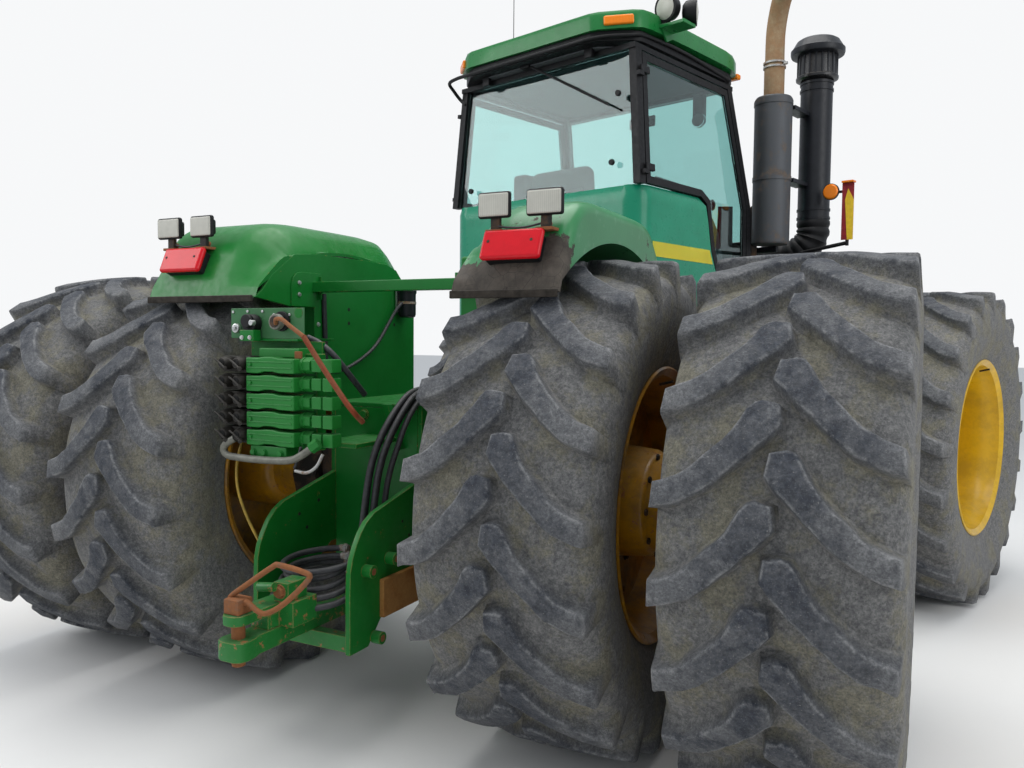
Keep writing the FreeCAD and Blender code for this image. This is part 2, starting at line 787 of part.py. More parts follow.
for low, high in (
    ("boss_high_z + ear_gap", "boss_high_z + ear_gap + ear_thick"),
    ("boss_low_z - ear_gap - ear_thick", "boss_low_z - ear_gap"),
):
    front_items.append(
        slab(
            "xy",
            (
                ("-ear_r", "pivot_y - 60"),
                ("-60", "pivot_y - ear_r"),
                ("60", "pivot_y - ear_r"),
                ("ear_r", "pivot_y - 60"),
                ("yoke_half", "yoke_rear_y + 10"),
                ("-yoke_half", "yoke_rear_y + 10"),
            ),
            low,
            high,
            "pivot ear",
        )
    )
PIN_BANDS = (  # low, high, radius, sides
    ("boss_low_z - ear_gap - 1", "boss_high_z + ear_gap + 1", "pivot_pin_r", 0),
    ("boss_low_z - ear_gap - ear_thick - 20", "boss_low_z - ear_gap - ear_thick", "pivot_pin_r + 15", 8),
    ("boss_high_z + ear_gap + ear_thick", "boss_high_z + ear_gap + ear_thick + 20", "pivot_pin_r + 15", 8),
)
for low, high, radius, sides in PIN_BANDS:
    front_items.append(rod("z", radius, low, high, 0, "pivot_y", "pivot pin", sides))
for side in MIRROR:
    for sign in ("-", "+"):
        low, high = ("cyl_eye / 2 + fork_gap", "cyl_eye / 2 + fork_gap + fork_plate")
        z = (f"cyl_z + {low}", f"cyl_z + {high}") if sign == "+" else (f"cyl_z - ({high})", f"cyl_z - ({low})")
        front_items.append(
            box(
                sided(side, "yoke_half", "cyl_rod_x + 40"),
                ("cyl_rod_y - 45", "cyl_rod_y + 45"),
                z,
                "rod fork",
            )
        )
    front_items.append(
        box(
            sided(side, "plate_in + plate", 430),
            (1700, "hood_rear_y - slack"),
            (1600, 1640),
            f"cab beam {side}",
        )
    )
    front_items.append(
        slab(
            "yz",
            ((2660, "front_top_z"), (2500, 1640), (2900, 1640), (2860, "front_top_z")),
            *sided(side, "plate_in", "plate_in + plate"),
            f"cab post {side}",
        )
    )
node("front_frame", cut("front frame", fuse("front frame body", *front_items), axle_window("wheel_base")), "front")

node("engine", box((-300, 300), (3050, 4600), ("front_top_z", 2080), "engine"), "front")

# Hood: a top over two side panels, each with vents, and a raked nose with the grille
HOOD_TOP = (  # along, up
    ("hood_rear_y", 2440),
    ("hood_rear_y", 2500),
    (4700, 2330),
    (5180, 2200),
    (5330, 2050),
    (5315, 2020),
    (5150, 2140),
    (4690, 2270),
)
hood_top = slab("yz", HOOD_TOP, "-hood_half", "hood_half", "hood top")
node("hood", hood_top, "front")
for side in MIRROR:
    panel = slab(
        "yz",
        (("hood_rear_y", 1340), ("hood_rear_y", 2440), (4690, 2270), (5150, 2140), (5150, 1340)),
        *sided(side, "hood_half - hood_sheet", "hood_half"),
        f"hood side {side}",
    )
    vents = [
        box(sided(side, "hood_half - hood_sheet - 5", "hood_half + 5"), (3350 + 240 * k, 3530 + 240 * k), (1500, 1900), "vent")
        for k in range(6)
    ]
    node(f"hood_side_{side}", cut("vented side", panel, *vents), "front")
HOOD_IN = ("-hood_half + hood_sheet", "hood_half - hood_sheet")
bulkhead = box(HOOD_IN, ("hood_rear_y", "hood_rear_y + hood_sheet"), (1640, 2430), "bulkhead")
bulkhead_foot = box(
    ("-plate_in - plate", "plate_in + plate"),
    ("hood_rear_y", "hood_rear_y + hood_sheet"),
    ("front_top_z", 1640),
    "bulkhead foot",
)
node("bulkhead", fuse("bulkhead", bulkhead, bulkhead_foot), "front")
nose = slab("yz", ((5150, 1340), (5150, 2140), (5315, 2020), (5390, 1340)), "-hood_half", "hood_half", "nose")
slots = [
    box((-330, 330), (5140, 5450), (1400 + 80 * k, 1440 + 80 * k), "grille slot") for k in range(6)
]
node("grille", cut("grille", nose, *slots), "front")

# Cab: floor and lower body, leaning posts and sides, roof, doors and glass
LEAN = math.tan(math.radians(S.cab_lean))


def side_x(z, inset=0.0):
    """distance from the middle of the leaning side, at a height"""
    return S.cab_half - inset - max(z - S.sill_z, 0) * LEAN


QUARTER = (  # lower body behind the door, along and up
    ("cab_rear_y", 1860),
    ("cab_rear_y", "sill_z"),
    (2230, "sill_z"),
    (2300, 2600),
    (2370, 2310),
    (2500, 2060),
    (2580, 1860),
)
quarters = [
    slab("yz", QUARTER, *sided(side, "cab_half - 60", "cab_half"), f"quarter {side}") for side in MIRROR
]
cab_floor = slab(
    "xy",
    (
        ("-cab_half", "cab_rear_y"),
        ("cab_half", "cab_rear_y"),
        ("cab_half", 2790),
        ("tyre_clear_x", 2790),
        ("tyre_clear_x", "cab_front_y"),
        ("-tyre_clear_x", "cab_front_y"),
        ("-tyre_clear_x", 2790),
        ("-cab_half", 2790),
    ),
    "floor_z",
    "floor_z + 60",
    "cab floor",
)
rear_wall = box(("-cab_half + 60", "cab_half - 60"), ("cab_rear_y", "cab_rear_y + 50"), (1860, "sill_z"), "cab rear wall")
dash_wall = slab(
    "xz",
    (
        ("-tyre_clear_x", "floor_z + 60"),
        ("tyre_clear_x", "floor_z + 60"),
        ("tyre_clear_x", 1960),
        ("cab_half - post", 1960),
        ("cab_half - post", 2420),
        ("-cab_half + post", 2420),
        ("-cab_half + post", 1960),
        ("-tyre_clear_x", 1960),
    ),
    "cab_front_y - 60",
    "cab_front_y",
    "cab front wall",
)
pads = [
    box(sided(side, "plate_in + plate", 430), (2500, 2950), (1640, "floor_z"), "cab mount") for side in MIRROR
]
node("cab_base", fuse("cab base", cab_floor, rear_wall, dash_wall, *quarters, *pads), "front")

POSTS = (  # foot along, foot up, head along, depth along
    (1530, 2640, 1560, 60),
    (2880, 1960, 2670, 60),
)


def post(foot_y, foot_z, head_y, deep, sign):
    def end(y, z):
        outer, inner = side_x(z), side_x(z) - S.post
        return [
            Vector(sign * outer, y, z),
            Vector(sign * outer, y + deep, z),
            Vector(sign * inner, y + deep, z),
            Vector(sign * inner, y, z),
        ]

    if foot_z < S.sill_z:
        middle_y = foot_y + (head_y - foot_y) * 0.1
        lower = six_sided(end(foot_y, foot_z), end(middle_y, S.sill_z))
        return lower.fuse(six_sided(end(middle_y, S.sill_z), end(head_y, S.eave_z))).removeSplitter()
    return six_sided(end(foot_y, foot_z), end(head_y, S.eave_z))


posts = [post(*row, sign) for row in POSTS for sign in (1, -1)]
head_x = side_x(S.eave_z)
ring = Part.makeBox(2 * head_x, 1190, 30, Vector(-head_x, 1550, S.eave_z)).cut(
    Part.makeBox(2 * head_x - 120, 1070, 40, Vector(60 - head_x, 1610, S.eave_z - 5))
)

roof = slab(
    "yz",
    ((1400, "eave_z + 60"), (1400, "eave_z + 105"), (1560, "eave_z + 180"), (2600, "eave_z + 190"), (2860, "eave_z + 120"), (2860, "eave_z + 60")),
    -760,
    760,
    "roof",
)
visor = box((-740, 740), (1420, 2840), ("eave_z + 30", "eave_z + 60"), "visor")
node("cab_roof", fuse("roof", roof, visor), "front")

DOOR = (  # along, up
    (1600, 2648),
    (1626, 3432),
    (2660, 3432),
    (2853, 2640),
    (2872, 1868),
    (2586, 1868),
    (2508, 2064),
    (2378, 2314),
    (2308, 2607),
    (2233, 2648),
)


def door_plate(inset, thick, deep=0.0):
    """the door's outline pulled in by inset, thick across, as a leaning plate on the right side"""
    wire = Part.makePolygon([Vector(0, y, z) for y, z in DOOR] + [Vector(0, *DOOR[0])])
    if inset:
        wire = wire.makeOffset2D(-inset)
    flat = Part.Face(wire).extrude(Vector(-thick, 0, 0))
    flat.translate(Vector(-deep, 0, 0))
    return flat


def leaning(shape, sign):
    """a plate drawn at x = 0 set on the cab's side, upright to the sill height and leaning above it"""
    shape = shape.translated(Vector(S.cab_half, 0, 0))
    above = Part.makeBox(2000, 4000, 2000, Vector(0, 0, S.sill_z))
    upper = shape.common(above)
    upper.rotate(Vector(S.cab_half, 0, S.sill_z), Vector(0, 1, 0), -S.cab_lean)
    shape = shape.cut(above).fuse(upper).removeSplitter()
    return shape if sign > 0 else shape.mirror(Vector(), Vector(1, 0, 0))


HINGE_Y, HINGE_OUT, KNUCKLE_R = 1588, 14, 9
HINGES = ((2720, 0), (3300, 8))  # height, sides of the pin where it isn't round
LEAF_TALL = 39.4


def hinge_rod(radius, z, tall, sides):
    if not sides:
        return Part.makeCylinder(radius, tall, Vector(HINGE_OUT, HINGE_Y, z))
    turn = 2 * math.pi / sides
    ring = [
        Vector(HINGE_OUT + radius * math.cos(k * turn), HINGE_Y + radius * math.sin(k * turn), z)
        for k in range(sides)
    ]
    return face(ring).extrude(Vector(0, 0, tall))


fixed_hinges = []
for side, sign in MIRROR.items():
    frame = door_plate(0, S.door_thick).cut(door_plate(45, S.door_thick * 3, -S.door_thick))
    pane = door_plate(45 + S.slack, S.glass, 11)
    leaves = []
    for z, sides in HINGES:
        ease = math.cos(math.pi / sides) if sides else 1
        hole = hinge_rod((S.hinge_pin_r + S.run_fit) / ease, z, 50, sides)
        low = z + S.slack
        knuckle = hinge_rod(KNUCKLE_R, low, LEAF_TALL, 8)
        arm = Part.makeBox(2 * KNUCKLE_R - 2, 76, LEAF_TALL, Vector(HINGE_OUT - KNUCKLE_R + 1, HINGE_Y, low))
        pad = Part.makeBox(HINGE_OUT, 36, LEAF_TALL, Vector(0, HINGE_Y + 40, low))
        leaves.append(knuckle.fuse([arm, pad]).cut(hole))
        fixed = Part.makeBox(26, 49, 25, Vector(0, HINGE_Y - 40, z - 25))
        fixed_hinges.append(leaning(fixed, sign))
        fixed_hinges.append(leaning(hinge_rod(S.hinge_pin_r, z - 5, 48, sides), sign))
    node(f"door_{side}", made("door", leaning(frame.fuse(leaves), sign)), "front")
    node(f"door_glass_{side}", made("door glass", leaning(pane, sign)), "front")

node("cab_posts", made("posts", ring.fuse(posts + fixed_hinges).removeSplitter()), "front")


# Cab glass: rear window and windscreen
def pane(corners, thick):
    """glass between four corners, thick along Y"""
    return six_sided(corners, [c + Vector(0, thick, 0) for c in corners])


def wide(z, inset):
    return side_x(z) - inset


def window(foot_y, foot_z, head_y, head_z):
    """a pane between the posts"""
    low, high = wide(foot_z, S.post + 0.5), wide(head_z, S.post + 0.5)
    return pane(
        [
            Vector(-low, foot_y, foot_z),
            Vector(low, foot_y, foot_z),
            Vector(high, head_y, head_z),
            Vector(-high, head_y, head_z),
        ],
        S.glass,
    )


def post_y(z, row=POSTS[1]):
    """rear face of the front post, at a height"""
    foot_y, foot_z, head_y, deep = row
    knee = foot_y + (head_y - foot_y) * 0.1
    if z < S.sill_z:
        return foot_y + (knee - foot_y) * (z - foot_z) / (S.sill_z - foot_z)
    return knee + (head_y - knee) * (z - S.sill_z) / (S.eave_z - S.sill_z)


GLASS_LOW, GLASS_HIGH = S.sill_z + S.slack, S.eave_z - S.slack
windscreen_foot = 2420 + S.slack
rear_glass = window(1556, GLASS_LOW, 1586, GLASS_HIGH)
lower_screen = window(post_y(windscreen_foot) + 28, windscreen_foot, post_y(S.sill_z) + 28, S.sill_z)
windscreen = window(post_y(S.sill_z) + 28, S.sill_z, post_y(GLASS_HIGH) + 28, GLASS_HIGH)
screens = lower_screen.fuse(windscreen).removeSplitter()
node("cab_glass", made("cab glass", Part.makeCompound([rear_glass, screens])), "front")

# Seat and steering column
seat_base = box((-230, 230), (1950, 2400), (1860, 2250), "seat base")
cushion = box((-260, 260), (1900, 2420), (2250, 2370), "cushion")
back = slab("yz", ((1800, 2300), (1770, 2980), (1880, 3000), (1960, 2370), (1900, 2370), (1900, 2300)), -250, 250, "back")
node("seat", fuse("seat", seat_base, cushion, back), "front")
column = slab("yz", ((2700, 1860), (2640, 2480), (2720, 2500), (2899, 2330), (2899, 1860)), -140, 140, "column")
node("console", column, "front")

# Exhaust and air intake, to the right of the hood
STACK_BEND = ((880, 3065, 3690), (880, 3065, 3850), (895, 3055, 3980), (930, 3030, 4080), (985, 2990, 4140))
muffler = rod("z", 130, 2400, 3440, 880, 3065, "muffler", 16)
tail_pipe = rod("z", "stack_r", 3440, 3700, 880, 3065, "tail pipe", 12)
elbow = made("elbow", pipe(STACK_BEND, S.stack_r, 12))
inlet = box((690, 770), (3025, 3105), (2330, 2650), "inlet")
inlet_foot = box((430, 770), (3025, 3105), (2250, 2330), "inlet foot")
stay = box((430, 900), (3125, 3165), (2360, 2400), "muffler stay")
node("exhaust", fuse("exhaust", muffler, tail_pipe, elbow, inlet, inlet_foot, stay), "front")
riser = rod("z", 115, 2400, 3640, 1000, 3515, "intake pipe", 16)
bowl = rod("z", 150, 3640, 3830, 1000, 3515, "bowl", 16)
lid = rod("z", 190, 3830, 3930, 1000, 3515, "cap", 16)
duct = box((430, 1000), (3430, 3600), (2270, 2400), "duct")
node("intake", fuse("intake", riser, bowl, lid, duct), "front")

# Put every node in its place and write it
doc.recompute()
ANGLE = math.radians(S.turned)
PLACES = {
    "rear": Placement(Vector(-S.origin_x, -S.origin_y, 0), Rotation()),
    "front": Placement(
        Vector(
            -S.pivot_y * math.sin(ANGLE) - S.origin_x,
            S.pivot_y * (1 - math.cos(ANGLE)) - S.origin_y,
            0,
        ),
        Rotation(Vector(0, 0, 1), -S.turned),
    ),
}
PLACES["hinge"] = PLACES["rear"]


for label, (obj, half) in NODES.items():
    own = obj.Placement
    if obj.TypeId in ("Part::Feature", "Part::MultiFuse", "Part::Cut", "Part::Extrusion", "Part::Box"):
        for prop, text in obj.ExpressionEngine:
            if prop.startswith("Placement") or prop.startswith(".Placement"):
                obj.setExpression(prop, None)
    obj.Placement = PLACES[half].multiply(own)
doc.recompute()

bad = [o.Label for o in doc.Objects if {"Invalid", "Error"} & set(o.State)]
if bad:
    raise SystemExit(f"failed: {bad}")
total = None
for label, (obj, half) in NODES.items():
    shape = obj.Shape
    if shape.isNull() or not shape.isValid() or shape.Volume <= 0:
        raise SystemExit(f"bad shape: {label}")
    bounds = shape.BoundBox
    total = bounds if total is None else total.united(bounds)
    shape.exportStep(f"parts/{label}.step")
print(len(NODES), "nodes")
print("x", round(total.XMin), round(total.XMax), "y", round(total.YMin), round(total.YMax))
print("z", round(total.ZMin, 2), round(total.ZMax))
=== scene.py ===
import math

import bmesh
import bpy
from mathutils import Matrix, Vector, noise


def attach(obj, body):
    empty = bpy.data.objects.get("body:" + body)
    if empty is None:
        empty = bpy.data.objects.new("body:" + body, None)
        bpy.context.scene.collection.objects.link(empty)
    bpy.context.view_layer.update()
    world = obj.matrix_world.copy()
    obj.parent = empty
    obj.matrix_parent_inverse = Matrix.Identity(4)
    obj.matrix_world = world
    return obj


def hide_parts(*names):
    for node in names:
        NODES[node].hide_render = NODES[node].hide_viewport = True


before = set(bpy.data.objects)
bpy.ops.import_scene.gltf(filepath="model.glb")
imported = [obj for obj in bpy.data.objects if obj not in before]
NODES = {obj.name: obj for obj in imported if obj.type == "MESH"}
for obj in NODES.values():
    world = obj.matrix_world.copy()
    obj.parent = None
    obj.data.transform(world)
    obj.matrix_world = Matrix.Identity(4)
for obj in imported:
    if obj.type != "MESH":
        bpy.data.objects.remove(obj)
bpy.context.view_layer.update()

# Metres throughout. The rear half lies along Y with its axle over the origin; the front half is
# drawn straight ahead of it, in the same axes, and turned about the pivot.
TURNED = math.radians(15.7)
PIVOT = Vector((0, 1.7525, 0))
REAR = Matrix.Translation((-0.329, -2.082, 0))
FRONT = (
    REAR @ Matrix.Translation(PIVOT) @ Matrix.Rotation(-TURNED, 4, "Z") @ Matrix.Translation(-PIVOT)
)
AXLE_Z = 1.030
WHEEL_BASE = 3.505
SIDES = {"right": 1, "left": -1}


def span(sign, a, b):
    """from a to b along X, outward on the side that sign names"""
    return tuple(sorted((sign * a, sign * b)))


def angles(count, start=0.0):
    """count equal steps of a full turn; start: where the first lies, in steps"""
    return [2 * math.pi * (k + start) / count for k in range(count)]


def add(name, data):
    """a new object in the scene"""
    o = bpy.data.objects.new(name, data)
    bpy.context.scene.collection.objects.link(o)
    return o


def put(tree, socket, value):
    if isinstance(value, bpy.types.NodeSocket):
        tree.links.new(value, socket)
    else:
        socket.default_value = value


def add_node(tree, kind, inputs=None, **settings):
    """a shader node with its settings, and its inputs linked or set"""
    n = tree.nodes.new(kind)
    for k, v in settings.items():
        setattr(n, k, v)
    for k, v in (inputs or {}).items():
        put(tree, n.inputs[k], v)
    return n


# Materials
class Look:
    """a procedural material around one principled shader"""

    def __init__(self, name, metal=0.0, coat=0.0, **sockets):
        self.material = bpy.data.materials.new(name)
        self.material.use_nodes = True
        self.tree = self.material.node_tree
        self.shader = self.tree.nodes["Principled BSDF"]
        self.set(**{"Metallic": metal, "Coat Weight": coat, "Coat Roughness": 0.15})
        self.set(**sockets)
        self.place = self.node("ShaderNodeTexCoord").outputs["Object"]

    def node(self, kind, inputs=None, **settings):
        return add_node(self.tree, kind, inputs, **settings)

    def set(self, **sockets):
        for k, v in sockets.items():
            put(self.tree, self.shader.inputs[k if k in self.shader.inputs else k.replace("_", " ")], v)

    def noise(self, scale, detail=5.0, rough=0.6):
        inputs = {"Vector": self.place, "Scale": scale, "Detail": detail, "Roughness": rough}
        return self.node("ShaderNodeTexNoise", inputs).outputs["Fac"]

    def band(self, value, low, high, to=(0.0, 1.0)):
        """value from low to high brought to the range to"""
        inputs = {"Value": value, "From Min": low, "From Max": high, "To Min": to[0], "To Max": to[1]}
        return self.node("ShaderNodeMapRange", inputs, clamp=True).outputs[0]

    def maths(self, op, a, b=0.0):
        return self.node("ShaderNodeMath", {0: a, 1: b}, operation=op).outputs[0]

    def times(self, a, b):
        return self.maths("MULTIPLY", a, b)

    def mix(self, fac, a, b):
        a, b = (v if isinstance(v, bpy.types.NodeSocket) else (*v, 1.0) for v in (a, b))
        return self.node("ShaderNodeMix", {0: fac, 6: a, 7: b}, data_type="RGBA").outputs[2]

    def attribute(self, name):
        return self.node("ShaderNodeAttribute", attribute_name=name).outputs["Fac"]

    def up(self):
        """how much a face looks up, 0 to 1"""
        normal = self.node("ShaderNodeNewGeometry").outputs["Normal"]
        return self.node("ShaderNodeSeparateXYZ", {0: normal}).outputs[2]

    def bump(self, height, strength=0.3, distance=0.01, under=None):
        n = self.node("ShaderNodeBump", {"Height": height, "Strength": strength, "Distance": distance})
        if under:
            put(self.tree, n.inputs["Normal"], under)
        return n.outputs[0]

    def edge_wear(self, radius=0.006):
        """1 along sharp edges"""
        rounded = self.node("ShaderNodeBevel", {"Radius": radius}, samples=4).outputs[0]
        true = self.node("ShaderNodeNewGeometry").outputs["Normal"]
        dot = self.node("ShaderNodeVectorMath", {0: rounded, 1: true}, operation="DOT_PRODUCT")
        return self.band(dot.outputs["Value"], 0.985, 0.90)


def paint(name, colour, shade, dust=0.25, wear=0.0, rust=0.0, gloss=0.32, coat=0.25, grime_and_shade=0.0):
    """sprayed enamel with fading, dust on its upper faces, chipped edges and rust, and dark patches that
    are partly grime and partly painted shade
    """
    look = Look(name, coat=coat, Specular_IOR_Level=0.22)
    fade = look.band(look.noise(2.3, 4), 0.35, 0.7)
    c = look.mix(fade, colour, shade)
    stain = look.band(look.noise(9, 8, 0.7), 0.52, 0.72)
    c = look.mix(look.times(stain, 0.25), c, [v * 0.6 for v in colour])
    # dark patches: partly grime, partly painted shade; the inner rims take the most of it, as painted shade
    if grime_and_shade:
        low = look.times(look.band(look.noise(5, 8, 0.75), 0.42, 0.62), grime_and_shade)
        c = look.mix(low, c, (0.045, 0.04, 0.032))
    film = look.times(look.band(look.up(), 0.1, 1.0), look.band(look.noise(14, 6), 0.3, 0.75))
    c = look.mix(look.times(film, dust), c, (0.36, 0.34, 0.3))
    if wear:
        bare = look.times(look.edge_wear(), look.band(look.noise(38, 6, 0.7), 0.62 - wear * 0.25, 0.66))
        c = look.mix(bare, c, (0.33, 0.2, 0.07))
    if rust:
        spots = look.band(look.noise(21, 9, 0.75), 0.66 - rust * 0.3, 0.70 - rust * 0.3)
        c = look.mix(spots, c, look.mix(look.noise(60, 4), (0.23, 0.09, 0.03), (0.36, 0.17, 0.07)))
    look.set(Base_Color=c)
    look.set(Roughness=look.band(look.noise(30, 5), 0.3, 0.8, (gloss * 0.8, gloss * 1.7)))
    peel = look.noise(260, 2)
    look.set(Normal=look.bump(look.noise(7, 6, 0.6), 0.12, 0.004, look.bump(peel, 0.06, 0.001)))
    return look.material


def plain(name, colour, rough=0.5, metal=0.0, vary=0.35, scale=30, bump=0.15, coat=0.0, dust=0.2, spec=0.5):
    """a plain surface whose tone and roughness still vary"""
    look = Look(name, metal=metal, coat=coat, Specular_IOR_Level=spec)
    tone = look.band(look.noise(scale, 7, 0.65), 0.3, 0.7)
    c = look.mix(tone, [v * (1 - vary) for v in colour], [min(1, v * (1 + vary)) for v in colour])
    film = look.times(look.band(look.up(), 0.0, 1.0), dust)
    c = look.mix(look.times(film, look.noise(18, 5)), c, (0.3, 0.28, 0.25))
    look.set(
        Base_Color=c,
        Roughness=look.band(look.noise(scale * 1.7, 4), 0.3, 0.7, (rough * 0.8, min(1, rough * 1.25)))
    )
    look.set(Normal=look.bump(look.noise(scale * 4, 5), bump, 0.002))
    return look.material


def rubber_look():
    """tyre rubber: blue-black lug tops with pale scuffs, grey shoulders, dried mud in the grooves, and pale
    lug edges that are partly scuffing and partly a painted highlight
    """
    look = Look("tyre_rubber")
    top = look.attribute("lug")
    wide = look.noise(3.0, 4, 0.6)
    fine = look.noise(45, 6, 0.75)
    speck = look.noise(170, 3, 0.75)
    grain = look.band(look.noise(110, 4, 0.8), 0.4, 0.62)
    dark = look.mix(look.band(fine, 0.38, 0.72), (0.016, 0.02, 0.03), (0.07, 0.078, 0.095))
    worn = look.mix(look.band(fine, 0.3, 0.65), (0.075, 0.077, 0.08), (0.25, 0.25, 0.25))
    outward = look.band(look.attribute("across"), 0.08, 0.36)
    scuffed = look.mix(look.times(outward, look.band(wide, 0.3, 0.62)), dark, worn)
    patch = look.band(look.noise(7, 7, 0.7), 0.5, 0.62)
    scuffed = look.mix(look.times(patch, 0.45), scuffed, worn)
    grey = look.mix(look.band(fine, 0.32, 0.66), (0.085, 0.085, 0.086), (0.26, 0.255, 0.245))
    mud = look.mix(look.band(look.noise(26, 8, 0.7), 0.35, 0.7), (0.15, 0.137, 0.095), (0.3, 0.28, 0.2))
    muddy = look.times(look.band(look.noise(6, 9, 0.72), 0.47, 0.58), 0.8)
    base = look.mix(muddy, grey, mud)
    c = look.mix(look.band(top, 0.25, 0.75), base, scuffed)
    # pale along the lugs' top edges: partly scuffing, partly a painted highlight
    edge = look.times(look.attribute("rim"), look.band(look.noise(18, 7, 0.7), 0.4, 0.58))
    c = look.mix(look.times(edge, 0.6), c, (0.36, 0.36, 0.355))
    c = look.mix(look.times(look.band(speck, 0.62, 0.69), 0.55), c, (0.36, 0.35, 0.33))
    c = look.mix(look.times(look.band(speck, 0.4, 0.34), 0.5), c, (0.02, 0.021, 0.024))
    c = look.mix(look.times(grain, 0.5), c, (0.022, 0.024, 0.029))
    look.set(Base_Color=c, Roughness=look.band(fine, 0.3, 0.7, (0.6, 0.95)), Specular_IOR_Level=0.3)
    rough = look.maths("ADD", look.times(fine, 0.6), look.times(speck, 0.4))
    look.set(Normal=look.bump(rough, 0.6, 0.012, look.bump(look.noise(14, 7, 0.65), 0.5, 0.03)))
    return look.material


def metal_look(name, colour, rust, rough=0.45, amount=0.5):
    """worn steel going over to rust"""
    look = Look(name, metal=0.6)
    over = look.band(look.noise(13, 9, 0.72), 0.62 - amount * 0.4, 0.72 - amount * 0.3)
    red = look.mix(look.noise(70, 6, 0.7), rust, [v * 0.45 for v in rust])
    look.set(Base_Color=look.mix(over, colour, red))
    look.set(Metallic=look.band(over, 0.0, 1.0, (0.7, 0.05)))
    look.set(Roughness=look.band(over, 0.0, 1.0, (rough, 0.9)))
    look.set(Normal=look.bump(look.noise(90, 8, 0.7), 0.4, 0.003))
    return look.material


def glass_look(name, tint):
    """tinted glass that lets the light through"""
    look = Look(name, Roughness=0.0, IOR=1.45)
    look.set(Base_Color=(*tint, 1), Transmission_Weight=1.0)
    return look.material


def lens_look(name, colour, ribs=0.3):
    look = Look(name, coat=0.08, Roughness=0.25, Specular_IOR_Level=0.25)
    inputs = {"Vector": look.place, "Scale": 40.0, "Distortion": 0.3}
    wave = look.node("ShaderNodeTexWave", inputs, bands_direction="X").outputs["Fac"]
    soil = look.band(look.noise(14, 6, 0.7), 0.4, 0.75)
    c = look.mix(look.times(wave, ribs), colour, [v * 0.6 for v in colour])
    look.set(Base_Color=look.mix(look.times(soil, 0.3), c, [v * 0.5 for v in colour]))
    look.set(Normal=look.bump(wave, ribs * 0.5, 0.002))
    return look.material


def peeled(name, turn_at):
    """green enamel that has come off a dirty brown rear face; turn_at: where along Y it ends"""
    look = Look(name, coat=0.1)
    parts = look.node("ShaderNodeSeparateXYZ", {0: look.place}).outputs
    ragged = look.times(look.noise(9, 8, 0.7), 0.24)
    line = look.maths("ADD", parts[1], ragged)
    gone = look.band(line, turn_at + 0.128, turn_at + 0.122)
    spots = look.band(look.noise(8, 9, 0.72), 0.625, 0.635)
    gone = look.maths("MAXIMUM", gone, spots)
    green = look.mix(look.band(look.noise(2.3, 4), 0.35, 0.7), (0.01, 0.16, 0.04), (0.02, 0.2, 0.06))
    scuff = look.band(look.noise(16, 7, 0.7), 0.56, 0.66)
    green = look.mix(look.times(scuff, 0.35), green, (0.16, 0.33, 0.2))
    soil = look.mix(
        look.band(look.noise(10, 8, 0.7), 0.35, 0.68), (0.03, 0.024, 0.018), (0.085, 0.07, 0.055)
    )
    inputs = {"Vector": look.place, "Scale": 16}
    crack = look.node("ShaderNodeTexVoronoi", inputs, feature="DISTANCE_TO_EDGE").outputs["Distance"]
    soil = look.mix(look.band(crack, 0.0, 0.015), (0.016, 0.013, 0.01), soil)
    look.set(Base_Color=look.mix(gone, green, soil), Roughness=look.band(gone, 0, 1, (0.35, 0.9)))
    look.set(Normal=look.bump(gone, -0.6, 0.003, look.bump(look.noise(60, 6), 0.15, 0.002)))
    return look.material


GREEN = paint(
    "green_paint", (0.004, 0.135, 0.016), (0.008, 0.17, 0.026), dust=0.10, wear=0.2, gloss=0.36, coat=0.12
)
GREEN_WORN = paint(
    "green_worn", (0.004, 0.13, 0.014), (0.008, 0.16, 0.022), dust=0.14, wear=1.0, rust=0.1, gloss=0.42,
    coat=0.1
)
GREEN_RUSTY = paint(
    "green_rusty", (0.008, 0.13, 0.018), (0.014, 0.16, 0.028), dust=0.2, wear=1.4, rust=0.3, gloss=0.5
)
TEAL = paint(
    "cab_green", (0.002, 0.2, 0.105), (0.004, 0.24, 0.13), dust=0.03, wear=0.0, coat=0.3, gloss=0.28
)
ROOF_GREEN = paint(
    "roof_green", (0.008, 0.135, 0.028), (0.012, 0.17, 0.038), dust=0.05, wear=0.0, coat=0.25, gloss=0.3
)
YELLOW = paint(
    "yellow_paint", (0.62, 0.37, 0.006), (0.7, 0.42, 0.012), dust=0.15, wear=0.4, rust=0.02, grime_and_shade=0.25
)
# a darker copy of the rim yellow with heavy dark patches: painted shade for the inner rims, which sit in
# shade behind the tyres; its rust and chipped edges are wear
YELLOW_SHADED = paint(
    "yellow_painted_shade", (0.42, 0.2, 0.004), (0.3, 0.12, 0.008), dust=0.1, wear=0.3, rust=0.12, grime_and_shade=0.75
)
HUB_YELLOW = paint(
    "hub_yellow", (0.55, 0.27, 0.004), (0.45, 0.2, 0.01), dust=0.3, wear=0.8, rust=0.3, grime_and_shade=0.5
)
STRIPE = plain("stripe_yellow", (0.98, 0.84, 0.06), 0.35, vary=0.03, bump=0.02, coat=0.3, dust=0.0)
RUBBER = rubber_look()
RUST = metal_look("rusty_steel", (0.12, 0.1, 0.08), (0.3, 0.11, 0.035), amount=0.95)
STEEL = metal_look("worn_steel", (0.35, 0.35, 0.34), (0.3, 0.17, 0.09), amount=0.35)
DARK = metal_look("dark_iron", (0.03, 0.028, 0.026), (0.11, 0.06, 0.03), 0.6, amount=0.4)
ORANGE_PLATE = metal_look("weathered_orange", (0.3, 0.13, 0.03), (0.42, 0.2, 0.05), 0.7, amount=0.8)
SILVER = plain("bright_zinc", (0.55, 0.55, 0.54), 0.32, metal=0.9, vary=0.2)
BLACK = plain("black_plastic", (0.005, 0.005, 0.006), 0.5, dust=0.06, spec=0.25)
BLACK_PAINT = plain("black_paint", (0.006, 0.007, 0.010), 0.4, dust=0.05, spec=0.35)
